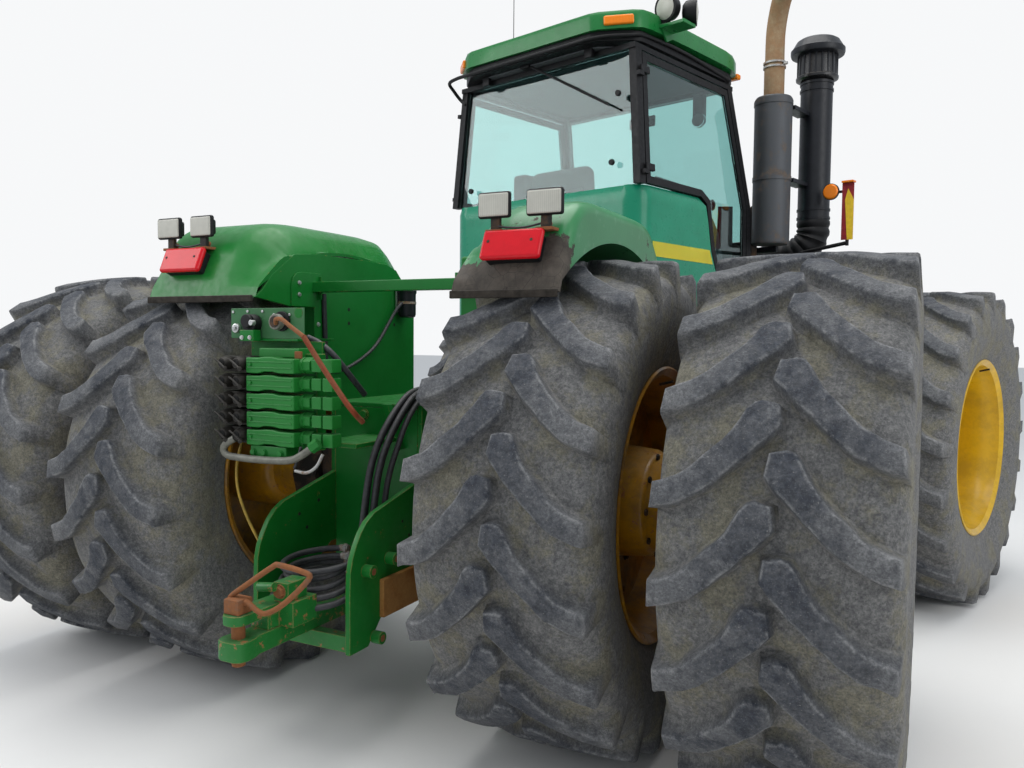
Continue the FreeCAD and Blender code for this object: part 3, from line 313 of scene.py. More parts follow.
HOSE = plain("hose_rubber", (0.022, 0.022, 0.026), 0.55, vary=0.5, scale=60)
MUFFLER = metal_look("muffler_skin", (0.08, 0.084, 0.09), (0.15, 0.115, 0.09), 0.55, amount=0.25)
PIPE_CREAM = metal_look("scorched_pipe", (0.3, 0.22, 0.13), (0.34, 0.2, 0.1), 0.6, amount=0.55)
# near-black discs laid over holes and open ends: painted shade for their insides
HOLE_SHADE = plain("painted_hole_shade", (0.004, 0.004, 0.004), 0.9, dust=0)
GLASS = glass_look("cab_glass", (0.5, 0.73, 0.71))
BOWL = plain("dark_bowl", (0.012, 0.012, 0.013), 0.3, dust=0.3)
RED = lens_look("red_lens", (0.6, 0.004, 0.012), 0.08)
AMBER = lens_look("amber_lens", (0.85, 0.22, 0.012), 0.25)
LAMP = lens_look("lamp_lens", (0.5, 0.49, 0.43), 0.35)
MIRROR = plain("mirror_glass", (0.7, 0.72, 0.74), 0.05, metal=1.0, vary=0.02, bump=0.0, dust=0.0)
SEAT = plain("seat_cloth", (0.05, 0.052, 0.055), 0.85, scale=90, bump=0.4)
TRIM = plain("cab_trim", (0.1, 0.1, 0.105), 0.6)
LINER = plain("headliner", (0.075, 0.08, 0.09), 0.8, vary=0.12, dust=0.0)
DOOR_TRIM = plain("door_trim", (0.07, 0.062, 0.075), 0.6, vary=0.15)
PEELED = peeled("peeled_green", -0.545 - 2.082)
VALVE = paint("valve_enamel", (0.008, 0.14, 0.018), (0.012, 0.18, 0.025), dust=0.12, gloss=0.45)
COUPLER = plain("coupler_steel", (0.022, 0.019, 0.015), 0.55, metal=0.3, vary=0.5, dust=0.1)
PIPE = plain("grey_pipe", (0.14, 0.14, 0.115), 0.5, metal=0.2, vary=0.3)
PLATE = paint("plate_green", (0.035, 0.14, 0.05), (0.06, 0.165, 0.07), dust=0.2, gloss=0.5)
# a dark band under the fender's rear lip: painted shadow
LIP_SHADOW = plain("painted_lip_shadow", (0.03, 0.025, 0.02), 0.85, vary=0.5, spec=0.2)
SIGN_RED = plain("plate_red", (0.25, 0.008, 0.015), 0.5, vary=0.25)
SIGN_YELLOW = plain("plate_yellow", (0.75, 0.5, 0.02), 0.5, vary=0.15)
CORD_YELLOW = plain("yellow_sheath", (0.35, 0.22, 0.02), 0.5, vary=0.35)
RED_ROD = metal_look("red_rod", (0.2, 0.04, 0.014), (0.24, 0.075, 0.025), 0.6, amount=0.6)


# Shapes
def smooth_path(points, per=5):
    """points along a smooth curve through the given ones"""
    pts = [Vector(p) for p in points]
    ext = [pts[0] * 2 - pts[1]] + pts + [pts[-1] * 2 - pts[-2]]
    out = []
    for a, b, c, d in zip(ext, ext[1:], ext[2:], ext[3:]):
        for k in range(per):
            t = k / per
            cubic = 3 * b - a - 3 * c + d
            out.append(0.5 * (2 * b + (c - a) * t + (2 * a - 5 * b + 4 * c - d) * t * t + cubic * t**3))
    return out + [pts[-1]]


def bevelled(bm, width, segments=2):
    sharp = [e for e in bm.edges if len(e.link_faces) == 2 and e.calc_face_angle() > 0.6]
    bmesh.ops.bevel(
        bm, geom=sharp, offset=width, segments=segments, profile=0.5, affect="EDGES", clamp_overlap=True
    )

def skin(bm, rings, close=False, caps=True):
    """faces from ring to ring, any of which may be one corner; close: also from the last to the first"""
    for a, b in list(zip(rings, rings[1:])) + ([(rings[-1], rings[0])] if close else []):
        n = max(len(a), len(b))
        for k in range(n):
            m = (k + 1) % n
            corners = (a[k % len(a)], a[m % len(a)], b[m % len(b)], b[k % len(b)])
            corners = list(dict.fromkeys(corners))
            if len(corners) > 2:
                bm.faces.new(corners)
    for ring in (rings[0], rings[-1]) if caps and not close else ():
        if len(ring) > 1:
            bm.faces.new(ring)


class Piece:
    """one mesh gathered from forms, in the metres of the half that carries it"""

    def __init__(self, name, body, half=REAR):
        self.name, self.body, self.half = name, body, half
        self.bm, self.looks = bmesh.new(), []

    def take(self, bm, look, bevel=0.0, turn=None, segments=2):
        bmesh.ops.recalc_face_normals(bm, faces=bm.faces)
        if bevel:
            bevelled(bm, bevel, segments)
        if turn:
            bm.transform(turn)
        if look not in self.looks:
            self.looks.append(look)
        for f in bm.faces:
            f.material_index = self.looks.index(look)
            f.smooth = True
        mesh = bpy.data.meshes.new("form")
        bm.to_mesh(mesh)
        bm.free()
        self.bm.from_mesh(mesh)
        bpy.data.meshes.remove(mesh)

    def box(self, x, y, z, look, bevel=0.003, turn=None, segments=2):
        bm = bmesh.new()
        bmesh.ops.create_cube(bm, size=1)
        for v in bm.verts:
            v.co = Vector([p[0] + (p[1] - p[0]) * (c + 0.5) for p, c in zip((x, y, z), v.co)])
        self.take(bm, look, bevel, turn, segments)

    def slab(self, plane, outline, low, high, look, bevel=0.003, turn=None, segments=2):
        place = {
            "yz": lambda u, v, w: (w, u, v),
            "xz": lambda u, v, w: (u, w, v),
            "xy": lambda u, v, w: (u, v, w),
        }[plane]
        bm = bmesh.new()
        rings = [[bm.verts.new(place(u, v, w)) for u, v in outline] for w in (low, high)]
        n = len(outline)
        bm.faces.new(rings[0])
        bm.faces.new(rings[1][::-1])
        for k in range(n):
            bm.faces.new([rings[0][k], rings[0][(k + 1) % n], rings[1][(k + 1) % n], rings[1][k]])
        self.take(bm, look, bevel, turn, segments)

    def turned(self, axis, profile, centre, look, steps=48, close=False, turn=None):
        """(along, radius) points turned about an axis through centre"""
        bm = bmesh.new()
        first, second, third = {"x": (1, 2, 0), "y": (2, 0, 1), "z": (0, 1, 2)}[axis]

        def spot(along, radius, angle):
            co = Vector()
            co[first] = radius * math.cos(angle)
            co[second] = radius * math.sin(angle)
            co[third] = along
            return bm.verts.new(co + Vector(centre))

        rings = [
            [spot(along, radius, t) for t in (angles(steps) if radius > 1e-6 else [0])]
            for along, radius in profile
        ]
        skin(bm, rings, close)
        self.take(bm, look, 0, turn)

    def collar(self, centre, low, high, inner, outer, look, steps):
        """a band around an upright pipe"""
        ring = [(low, inner), (low, outer), (high, outer), (high, inner)]
        self.turned("z", ring, centre, look, steps)

    def rod(self, a, b, radius, look, steps=24, bevel=0.002):
        """a round bar, or with six steps a hexagonal one, from a to b"""
        a, b = Vector(a), Vector(b)
        bm = bmesh.new()
        bmesh.ops.create_cone(
            bm, cap_ends=True, segments=steps, radius1=radius, radius2=radius, depth=(b - a).length
        )
        way = (b - a).to_track_quat("Z", "Y").to_matrix().to_4x4()
        if bevel:
            ends = [e for e in bm.edges if abs(e.verts[0].co.z - e.verts[1].co.z) < 1e-6]
            bmesh.ops.bevel(
                bm, geom=ends, offset=min(bevel, radius * 0.4), segments=2, profile=0.5, affect="EDGES"
            )
        self.take(bm, look, 0, Matrix.Translation((a + b) / 2) @ way)
    def post(self, x, y, z, radius, look, steps=24, bevel=0.002):
        """a rod along an axis: of x, y and z, the one along it is a pair, from and to"""
        ends = [[v[k] if isinstance(v, tuple) else v for v in (x, y, z)] for k in (0, 1)]
        self.rod(*ends, radius, look, steps, bevel)

    def tube(self, points, radius, look, steps=12, per=5, straight=False, ring_of=None):
        """a round tube along a path; ring_of: radius at a share of its length"""
        path = [Vector(p) for p in points] if straight else smooth_path(points, per)
        bm = bmesh.new()
        way = (path[1] - path[0]).normalized()
        side = way.orthogonal().normalized()
        rings = []
        for k, p in enumerate(path):
            ahead = path[min(k + 1, len(path) - 1)] - path[max(k - 1, 0)]
            ahead.normalize()
            side = (side - ahead * side.dot(ahead)).normalized()
            up = ahead.cross(side)
            r = radius if ring_of is None else ring_of(k / (len(path) - 1))
            turn = [(r * math.cos(t), r * math.sin(t)) for t in angles(steps)]
            rings.append([bm.verts.new(p + side * u + up * v) for u, v in turn])
        skin(bm, rings)
        self.take(bm, look)

    def bolt(self, at, along, size, look, washer=True, tall=0.6):
        """a hexagon head on a washer, standing on at"""
        at, along = Vector(at), Vector(along).normalized()
        if washer:
            self.rod(at, at + along * size * 0.2, size * 1.25, look, 20, 0.0008)
        self.rod(at, at + along * size * (0.2 + tall), size, look, 6, size * 0.12)

    def done(self, replaces=(), sharp=40):
        mesh = bpy.data.meshes.new(self.name)
        self.bm.to_mesh(mesh)
        self.bm.free()
        for look in self.looks:
            mesh.materials.append(look)
        return shown(self.name, mesh, self.body, self.half, replaces, sharp)


def shown(name, mesh, body, matrix, replaces=(), sharp=40, weighted=True):
    if sharp:
        mesh.set_sharp_from_angle(angle=math.radians(sharp))
    mesh.transform(matrix)
    o = add(name, mesh)
    if weighted:
        o.modifiers.new("normals", "WEIGHTED_NORMAL").keep_sharp = True
    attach(o, body)
    if replaces:
        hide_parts(*replaces)
    return o


# Camera, as solved from the photograph; floor and light
CAMERA_AT = (2.273, -3.39, 1.725)
YAW, PITCH, ROLL = 0.470, -0.056, 0.009
FOCAL, WIDTH = 828.7, 1024  # in pixels
ahead = Vector((-math.sin(YAW) * math.cos(PITCH), math.cos(YAW) * math.cos(PITCH), math.sin(PITCH)))
level = Vector((math.cos(YAW), math.sin(YAW), 0))
above = level.cross(ahead)
right = level * math.cos(ROLL) + above * math.sin(ROLL)
above = above * math.cos(ROLL) - level * math.sin(ROLL)
turn = Matrix((right, above, -ahead)).transposed().to_4x4()
camera = add("camera", bpy.data.cameras.new("camera"))
camera.matrix_world = REAR @ Matrix.Translation(CAMERA_AT) @ turn
camera.data.sensor_width = 36
camera.data.lens = 36 * FOCAL / WIDTH
camera.data.clip_end = 200
bpy.context.scene.camera = camera
bpy.context.scene.view_settings.view_transform = "Standard"

FLOOR = 60
floor_mesh = bpy.data.meshes.new("floor")
floor_mesh.from_pydata(
    [(-FLOOR, -FLOOR, 0), (FLOOR, -FLOOR, 0), (FLOOR, FLOOR, 0), (-FLOOR, FLOOR, 0)], [], [(0, 1, 2, 3)]
)
floor = add("floor", floor_mesh)
floor_look = Look("floor", Roughness=0.9)
floor_look.set(Base_Color=floor_look.mix(floor_look.noise(0.8, 5), (0.74, 0.73, 0.71), (0.8, 0.79, 0.77)))
floor_mesh.materials.append(floor_look.material)

world = bpy.data.worlds.new("studio")
bpy.context.scene.world = world
world.use_nodes = True
tree = world.node_tree
tree.nodes.clear()
rays = add_node(tree, "ShaderNodeLightPath").outputs
seen = add_node(
    tree, "ShaderNodeMath", {0: rays["Is Camera Ray"], 1: rays["Is Transmission Ray"]}, operation="MAXIMUM"
)
soft = add_node(tree, "ShaderNodeBackground", {"Color": (0.86, 0.92, 1.0, 1), "Strength": 0.72})
white = add_node(tree, "ShaderNodeBackground", {"Color": (0.93, 0.94, 0.95, 1), "Strength": 1.0})
chosen = add_node(
    tree, "ShaderNodeMixShader", {0: seen.outputs[0], 1: soft.outputs[0], 2: white.outputs[0]}
)
add_node(tree, "ShaderNodeOutputWorld", {0: chosen.outputs[0]})


def lamp(name, at, aim, size, power, colour=(1, 1, 1)):
    light = bpy.data.lights.new(name, "AREA")
    light.shape, light.size, light.energy, light.color = "DISK", size, power, colour
    o = add(name, light)
    o.location = at
    o.rotation_euler = (Vector(aim) - Vector(at)).to_track_quat("-Z", "Y").to_euler()


lamp("overhead", (0, -1, 9), (0, 0, 1), 9, 620, (1.0, 0.99, 0.97))
lamp("left", (-8, -7, 6), (0, 0, 1), 6, 330)
lamp("right", (9, -3, 5), (0, 0, 1), 6, 230)


# Tyres
CARCASS = (  # across, radius
    (0.0, 0.972), (0.1, 0.972), (0.2, 0.967), (0.28, 0.957), (0.325, 0.940), (0.348, 0.912),
    (0.360, 0.875), (0.365, 0.83), (0.363, 0.78), (0.355, 0.73), (0.342, 0.68), (0.328, 0.64),
    (0.318, 0.612), (0.313, 0.592), (0.306, 0.578), (0.298, 0.560),
)
LEADING = ((-0.005, 0.2), (0.063, 0.0), (0.119, 5.2), (0.2, 10.0), (0.268, 13.2), (0.347, 14.8))
TRAILING = ((-0.015, 3.9), (0.02, 6.2), (0.096, 10.5), (0.195, 15.6), (0.271, 18.1), (0.349, 19.3))
# rim: how much of the pale lug edge a ring takes, partly scuffing and partly a painted highlight
RINGS = (  # outward, height, tone, rim
    (0.026, -0.08, 0.0, 0.0), (0.014, 0.10, 0.1, 0.0), (0.007, 0.45, 0.45, 0.0),
    (0.003, 0.80, 0.7, 0.3), (-0.001, 0.95, 0.9, 1.0), (-0.009, 1.0, 1.0, 0.25),
)
LUGS = 21
LUG_STEP = 360 / LUGS
CREST_X = 0.364  # a carcass is widest here, and a lug's outline stops just past it
LUG_DROP = 0.013  # how far the lugs' tops fall from the middle to the shoulder


def carcass_radius(x):
    x = min(abs(x), CREST_X)
    for (a, ra), (b, rb) in zip(CARCASS, CARCASS[1:]):
        if a <= x <= b:
            return ra + (rb - ra) * (x - a) / (b - a)


def tyre_mesh(name, mirror):
    """a worn carcass with two staggered rows of raked lugs; mirror: -1 for the left-hand one"""
    verts, faces, tone, rim = [], [], [], []

    def put(x, radius, degrees, lug, edge):
        angle = math.radians(degrees)
        verts.append(Vector((x, radius * math.sin(angle), radius * math.cos(angle))))
        tone.append(lug)
        rim.append(edge)
        return len(verts) - 1

    profile = [(-x, r) for x, r in CARCASS[:0:-1]] + list(CARCASS)
    steps = LUGS * 6
    rows = []
    for x, radius in profile:
        row = []
        for k in range(steps):
            degrees = 360 * k / steps
            t = math.radians(degrees)
            wave = noise.noise(Vector((x * 9, math.sin(t) * 7, math.cos(t) * 7)))
            row.append(put(x, radius + wave * 0.004, degrees, 0.0, 0.0))
        rows.append(row)
    for a, b in zip(rows, rows[1:]):
        for k in range(steps):
            n = (k + 1) % steps
            faces.append((a[k], a[n], b[n], b[k]))
    arc = math.radians(1) * 1.03
    lead, trail = (
        [Vector((p.x, p.y * arc)) for p in smooth_path([(x, s, 0) for x, s in line], 3)]
        for line in (LEADING, TRAILING)
    )
    outline = lead + trail[::-1]
    count = len(outline)
    outward = []
    for k in range(count):
        way = (outline[(k + 1) % count] - outline[k - 1]).normalized()
        outward.append(Vector((way.y, -way.x)))
    if sum(outward[k].dot(outline[k] - outline[(k + count // 2) % count]) for k in range(count)) < 0:
        outward = [-v for v in outward]
    for side in (1, -1):
        for k in range(LUGS):
            first = (k + (0 if side > 0 else 0.5)) * LUG_STEP
            rings = []
            for grow, high, lug, edge in RINGS:
                ring = []
                for p, way in zip(outline, outward):
                    chip = noise.noise(Vector((p.x * 22, p.y * 22, k * 3.7 + side)))
                    q = p + way * (grow + chip * 0.005 * (1 if high > 0.3 else 0.3))
                    x = min(q.x, 0.366 - 0.014 * max(high, 0))
                    low = carcass_radius(x) - 0.004
                    top = AXLE_Z - 0.001 - LUG_DROP * min(1, max(0, x) / 0.345) ** 2
                    degrees = first - q.y / arc
                    radius = low + (top - low) * high + (chip * 0.002 if 0.3 < high < 0.99 else 0)
                    ring.append(put(side * x, radius, degrees, lug, edge))
                rings.append(ring)
            for a, b in zip(rings, rings[1:]):
                for n in range(count):
                    m = (n + 1) % count
                    faces.append((a[n], a[m], b[m], b[n]))
            last, half = rings[-1], count // 2
            for n in range(half - 1):
                faces.append((last[n], last[n + 1], last[count - 2 - n], last[count - 1 - n]))
    mesh = bpy.data.meshes.new(name)
    if mirror < 0:
        verts = [Vector((-v.x, v.y, v.z)) for v in verts]
    mesh.from_pydata(verts, [], faces)
    bm = bmesh.new()
    bm.from_mesh(mesh)
    bmesh.ops.recalc_face_normals(bm, faces=bm.faces)
    bm.to_mesh(mesh)
    bm.free()
    for f in mesh.polygons:
        f.use_smooth = True
    across = [abs(v.x) for v in verts]
    for label, values in (("lug", tone), ("rim", rim), ("across", across)):
        mesh.attributes.new(label, "FLOAT", "POINT").data.foreach_set("value", values)
    mesh.materials.append(RUBBER)
    return mesh


TYRES = {side: tyre_mesh(f"tyre_{side}", sign) for side, sign in SIDES.items()}
INNER_X, OUTER_X = 0.963, 1.870  # the twins' middles

BARREL = [  # along, radius: a rim's section
    (0.318, 0.572), (0.312, 0.580), (0.304, 0.578), (0.300, 0.556), (0.24, 0.545), (0.16, 0.52),
    (-0.16, 0.52), (-0.24, 0.545), (-0.300, 0.556), (-0.304, 0.578), (-0.312, 0.580), (-0.318, 0.572),
    (-0.296, 0.540), (-0.235, 0.528), (-0.20, 0.505), (-0.11, 0.50),
    (0.11, 0.50), (0.20, 0.505), (0.235, 0.528), (0.296, 0.540),
]
DISC = [  # from the disc's middle plane, radius
    (0.012, 0.503), (0.016, 0.485), (0.010, 0.46), (0.010, 0.33), (0.022, 0.30), (0.022, 0.13),
    (-0.012, 0.13), (-0.012, 0.31), (-0.012, 0.46), (-0.016, 0.503),
]
DRUM = [
    (1.075, 0.20), (1.085, 0.235), (1.10, 0.24), (1.24, 0.225), (1.26, 0.205), (1.56, 0.205),
    (1.58, 0.225), (1.73, 0.24), (1.745, 0.235), (1.755, 0.20),
]
HUB = [(0.585, 0.14), (0.60, 0.165), (0.74, 0.165), (0.76, 0.19), (0.80, 0.21), (1.05, 0.21), (1.07, 0.16)]
HUB_CAP = [(1.75, 0.17), (1.80, 0.165), (1.812, 0.15), (1.814, 0.06), (1.812, 0.0)]


def bolt_circle(piece, x, y, way, radius, turns, size, look, washer=True):
    """bolts around an axle, looking along X; turns: their angles"""
    for t in turns:
        at = (x, y + radius * math.cos(t), AXLE_Z + radius * math.sin(t))
        piece.bolt(at, (way, 0, 0), size, look, washer)


def rim_forms(piece, x, way, y, dish, look):
    """a dished rim; way: 1 where its outside looks to +X; dish: the disc's place outward of the middle"""
    centre = (x, y, AXLE_Z)
    piece.turned("x", [(way * a, r) for a, r in BARREL], centre, look, 72, close=True)
    piece.turned("x", [(way * (dish + a), r) for a, r in DISC], centre, look, 72, close=True)
    bolt_circle(piece, x + way * (dish + 0.022), y, way, 0.272, angles(12, 0.5), 0.017, DARK)
    bolt_circle(piece, x + way * (dish + 0.010), y, way, 0.43, angles(8, 0.25), 0.013, look)
    valve = (x + way * 0.27, y + 0.05, AXLE_Z + 0.50), (x + way * 0.33, y + 0.05, AXLE_Z + 0.515)
    piece.rod(*valve, 0.006, DARK, 10, 0.001)


def wheel(half, side, y, matrix):
    sign = SIDES[side]
    body = f"wheels_{half}_{side}"
    for label, x, steps in (("inner", INNER_X, 0), ("outer", OUTER_X, 5 if half == "rear" else 8)):
        at = matrix @ Matrix.Translation((sign * x, y, AXLE_Z))
        at = at @ Matrix.Rotation(math.radians(steps * LUG_STEP), 4, "X")
        replaces = (f"tyres_{half}_{side}",) if label == "inner" else ()
        shown(
            f"tyre_{half}_{side}_{label}", TYRES[side].copy(), body, at, replaces, sharp=0, weighted=False
        )
    p = Piece(f"rims_{half}_{side}", body, matrix)
    # the inner rim takes the darker yellow, painted shade
    rim_forms(p, sign * INNER_X, sign, y, 0.1, YELLOW_SHADED)
    rim_forms(p, sign * OUTER_X, sign, y, -0.1, YELLOW)
    for profile in (DRUM, HUB, HUB_CAP):
        p.turned("x", [(sign * a, r) for a, r in profile], (0, y, AXLE_Z), HUB_YELLOW, 48)
    for t in angles(10):
        for x, way, radius in ((1.262, 1, 0.214), (1.558, -1, 0.214), (1.812, 1, 0.12)):
            bolt_circle(p, sign * x, y, sign * way, radius, [t], 0.014, DARK, washer=False)
    p.done([f"wheels_{half}_{side}"])


for half, y, matrix in (("rear", 0.0, REAR), ("front", WHEEL_BASE, FRONT)):
    for side in SIDES:
        wheel(half, side, y, matrix)

# Rear frame
HITCH_SIDE = [
    (-0.811, 0.458), (-0.810, 0.70), (-0.806, 0.791), (-0.793, 0.842), (-0.769, 0.891),
    (-0.738, 0.938), (-0.700, 0.975), (-0.646, 1.005), (-0.297, 1.09), (-0.297, 1.42), (1.0, 1.42),
    (1.24, 1.26), (1.24, 0.76), (-0.33, 0.76), (-0.56, 0.60), (-0.69, 0.458),
]
PLATE_IN, PLATE_OUT = 0.230, 0.255  # the hitch plates' faces
DECK_TOP = 1.42
REAR_WALL = -0.297
p = Piece("rear_body", "rear_half")
for sign in (1, -1):
    p.slab("yz", HITCH_SIDE, *span(sign, PLATE_IN, PLATE_OUT), GREEN_WORN, 0.004)
for y, z, look, bevel in (
    ((REAR_WALL, -0.272), (0.60, 1.4), GREEN, 0.004),
    ((REAR_WALL, 1.0), (1.4, DECK_TOP), GREEN, 0.004),
    ((0.3, 1.24), (0.76, 0.78), GREEN_WORN, 0.003),
    ((1.18, 1.24), (0.78, 1.26), GREEN_WORN, 0.003),
    ((1.0, 1.04), (0.78, 1.38), GREEN_WORN, 0.003),
):
    p.box((-PLATE_IN, PLATE_IN), y, z, look, bevel)
p.box((-0.06, 0.14), (-0.62, REAR_WALL), (1.255, 1.275), GREEN_WORN)
p.box((-0.42, -0.02), (-0.64, -0.62), (1.24, 1.70), GREEN_WORN)
for sign in (1, -1):
    p.box(span(sign, PLATE_OUT, 0.565), (-0.15, 0.55), (1.38, 1.4), GREEN)
for sign, spots in ((1, ((-0.714, 0.78), (-0.556, 0.796), (-0.654, 0.49))), (-1, ((-0.714, 0.78),))):
    for y, z in spots:
        p.post((sign * PLATE_OUT, sign * 0.30), y, z, 0.026, GREEN_WORN, 32)
        p.post((sign * 0.2995, sign * 0.3008), y, z, 0.014, RUST, 20, 0)
for x, z, size in ((-0.06, 1.366, 0.02), (0.0, 1.245, 0.02), (0.09, 1.31, 0.008), (0.1, 1.26, 0.008)):
    p.bolt((x, REAR_WALL, z), (0, -1, 0), size, GREEN_WORN)
BRACE = [(0.06, DECK_TOP), (0.14, 1.22), (0.165, 1.22), (0.095, DECK_TOP)]
p.slab("xz", BRACE, -0.335, REAR_WALL, GREEN, 0.003)
p.box((0.256, 0.28), (-0.618, -0.357), (0.56, 0.72), ORANGE_PLATE, 0.004)
# dark discs on the hitch plates: painted shade for holes
for y, z in ((-0.55, 0.93), (-0.50, 0.86), (-0.42, 0.97)):
    p.post((-0.2295, -0.2285), y, z, 0.008, HOLE_SHADE, 16, 0)
    p.post((0.2555, 0.2565), y + 0.1, z, 0.006, HOLE_SHADE, 16, 0)
p.done(["rear_frame"])

# Drawbar and its pin
p = Piece("drawbar_body", "rear_half")
p.box((-0.23, 0.23), (-0.79, -0.74), (0.458, 0.525), GREEN_RUSTY, 0.004)
JAW = [(-0.05, 0.15), (-0.05, -1.09), (-0.062, -1.12), (-0.066, -1.165), (-0.055, -1.195), (-0.03, -1.207)]
JAW += [(-x, y) for x, y in JAW[::-1]]
p.slab("xy", JAW, 0.525, 0.600, GREEN_RUSTY, 0.006)
p.box((-0.045, 0.045), (-1.04, -0.90), (0.6, 0.655), GREEN_RUSTY, 0.004)
EAR = [(-0.05, -0.90), (-0.05, -1.15), (-0.044, -1.178), (-0.028, -1.196), (0.0, -1.202)]
EAR += [(-x, y) for x, y in EAR[-2::-1]]
p.slab("xy", EAR, 0.655, 0.695, GREEN_RUSTY, 0.005)
p.box((0.02, 0.115), (-0.98, -0.84), (0.60, 0.70), GREEN_RUSTY, 0.005)
p.box((0.025, 0.1), (-0.99, -0.88), (0.70, 0.775), GREEN_RUSTY, 0.005)
p.bolt((0.06, -0.99, 0.74), (0, -1, 0), 0.022, RUST)
p.rod((-0.02, -1.02, 0.755), (0.06, -1.02, 0.765), 0.018, GREEN_RUSTY, 16)
p.box((-0.05, 0.05), (0.1, 0.15), (0.6, 0.8), GREEN_RUSTY)
p.done(["drawbar"])

PIN_Y = -1.147
HANDLE = [
    (-0.037, -1.150, 0.722), (-0.034, -1.15, 0.75), (0.03, -1.135, 0.80), (0.135, -1.11, 0.876),
    (0.165, -1.105, 0.885), (0.27, -1.09, 0.868), (0.287, -1.09, 0.845), (0.20, -1.12, 0.752),
    (0.135, -1.14, 0.712), (0.10, PIN_Y, 0.714), (0.05, -1.15, 0.742), (0.035, -1.15, 0.735),
]
p = Piece("pin_with_handle", "rear_half")
p.post(0, PIN_Y, (0.495, 0.7), 0.0254, RUST, 32)
p.box((-0.037, 0.037), (-0.037, 0.037), (0, 0.057), RUST, 0.005, Matrix.Translation((0, PIN_Y, 0.695)))
p.tube(HANDLE, 0.0105, RUST, 12, 4)
p.done(["hitch_pin"])


# Fenders over the tanks
CREST = [
    (-0.645, 1.895), (-0.622, 1.955), (-0.590, 2.030), (-0.540, 2.130), (-0.500, 2.185),
    (-0.450, 2.225), (-0.380, 2.255), (-0.250, 2.268), (0.0, 2.270), (0.20, 2.270), (0.35, 2.266),
    (0.44, 2.240), (0.53, 2.165), (0.617, 2.079),
]
INWARD = ((0.0, 0.17), (0.012, 0.135), (0.05, 0.07), (0.10, 0.025), (0.17, 0.004), (0.22, 0.0))  # in, down
FENDER_IN = {"right": 0.605, "left": 0.400}
FENDER_OUT = 1.065
ARCH = 1.095  # the wheel arch's radius
SHELL = 0.012  # the least thickness
FLAT_AT = 1.11  # closer to the axle than this, the arch follows the crest
CORNER = 0.055  # the outer edge's rounding
TANK = [(-0.215, 1.40), (-0.215, 2.08), (0.42, 2.06), (0.617, 1.99), (0.617, 1.40)]
TANK_X = {"right": (0.4, 0.62), "left": (-0.565, -0.4)}
BRACKET = [
    (-0.41, 1.862), (-0.41, 1.965), (-0.40, 1.995), (-0.375, 2.018), (-0.34, 2.025), (-0.20, 2.025),
    (-0.20, 1.62), (-0.25, 1.60), (-0.25, 1.862),
]
STRAP = [(-0.385, -0.19, 1.93), (-0.385, -0.185, 1.80), (-0.384, -0.18, 1.66), (-0.38, -0.18, 1.52)]


def fender_shell(crest, low, sign):
    """the crowned plate from the crest down to the wheel arch"""
    centre = Vector((0, 0, AXLE_Z))
    bm = bmesh.new()
    rings = []
    for k, point in enumerate(crest):
        ahead = (crest[min(k + 1, len(crest) - 1)] - crest[max(k - 1, 0)]).normalized()
        out = Vector((0, -ahead.z, ahead.y))
        arch = centre + (point - centre).normalized() * ARCH
        if (point - centre).length < FLAT_AT:
            arch = point - out * SHELL
        thick = max((point - arch).dot(out), SHELL)
        r = min(CORNER, thick * 0.8)
        across = [(low + along, min(down, thick * 0.9)) for along, down in INWARD]
        for t in range(5):
            a = math.pi / 2 * (1 - t / 4)
            across.append((FENDER_OUT - r * (1 - math.cos(a)), r * (1 - math.sin(a))))
        ring = [Vector((low, arch.y, arch.z))]
        for x, down in across:
            q = point - out * down
            ring.append(Vector((x, q.y, q.z)))
        ring.append(Vector((FENDER_OUT, arch.y, arch.z)))
        rings.append([bm.verts.new(Vector((sign * v.x, v.y, v.z))) for v in ring])
    skin(bm, rings)
    return bm


def fender(side):
    sign, low = SIDES[side], FENDER_IN[side]
    p = Piece(f"fender_{side}_shell", "rear_half")
    crest = smooth_path([(0, y, z) for y, z in CREST], 4)
    p.take(fender_shell(crest, low, sign), PEELED if side == "right" else GREEN)
    if side == "left":
        wall = [(-0.643, 1.895), (-0.628, 1.90), (-0.59, 1.93), (-0.53, 2.0)]
        wall += [(q.y, q.z - 0.15) for q in crest[::4] if -0.40 < q.y < 0.45]
        wall += [(0.56, 1.98), (0.617, 1.92), (0.617, 1.40), (-0.215, 1.40), (-0.215, 1.86), (-0.41, 1.86)]
        p.slab("yz", wall, -0.415, -0.3985, GREEN, 0.004)
    p.slab("yz", TANK, *TANK_X[side], GREEN, 0.012, segments=3)
    if side == "left":
        p.slab("yz", BRACKET, -0.399, -0.391, GREEN, 0.003)
        for y, z in ((-0.359, 1.973), (-0.359, 1.918), (-0.225, 1.70), (-0.225, 1.78)):
            p.bolt((-0.391, y, z), (1, 0, 0), 0.009, SILVER)
        p.box((-0.40, -0.31), (-0.235, -0.205), (1.70, 1.712), GREEN, 0.002)
        p.tube(STRAP, 0.012, HOSE, 12, 4)
    for z in (1.50, 1.62):
        p.bolt((sign * 0.43, -0.2165, z), (0, -1, 0), 0.008, GREEN)
    # dark discs on the tank's inner face: painted shade for holes
    for y, z in ((0.02, 1.86), (0.02, 1.79), (0.42, 1.86), (0.42, 1.79)):
        p.post((sign * 0.3983, sign * 0.3975), y, z, 0.009, HOLE_SHADE, 16, 0)
    # dark band below the rear lip: painted shadow
    p.box(span(sign, low + 0.005, 1.06), (-0.657, -0.642), (1.872, 1.902), LIP_SHADOW, 0.004)
    p.done([f"fender_{side}"])


for side in SIDES:
    fender(side)

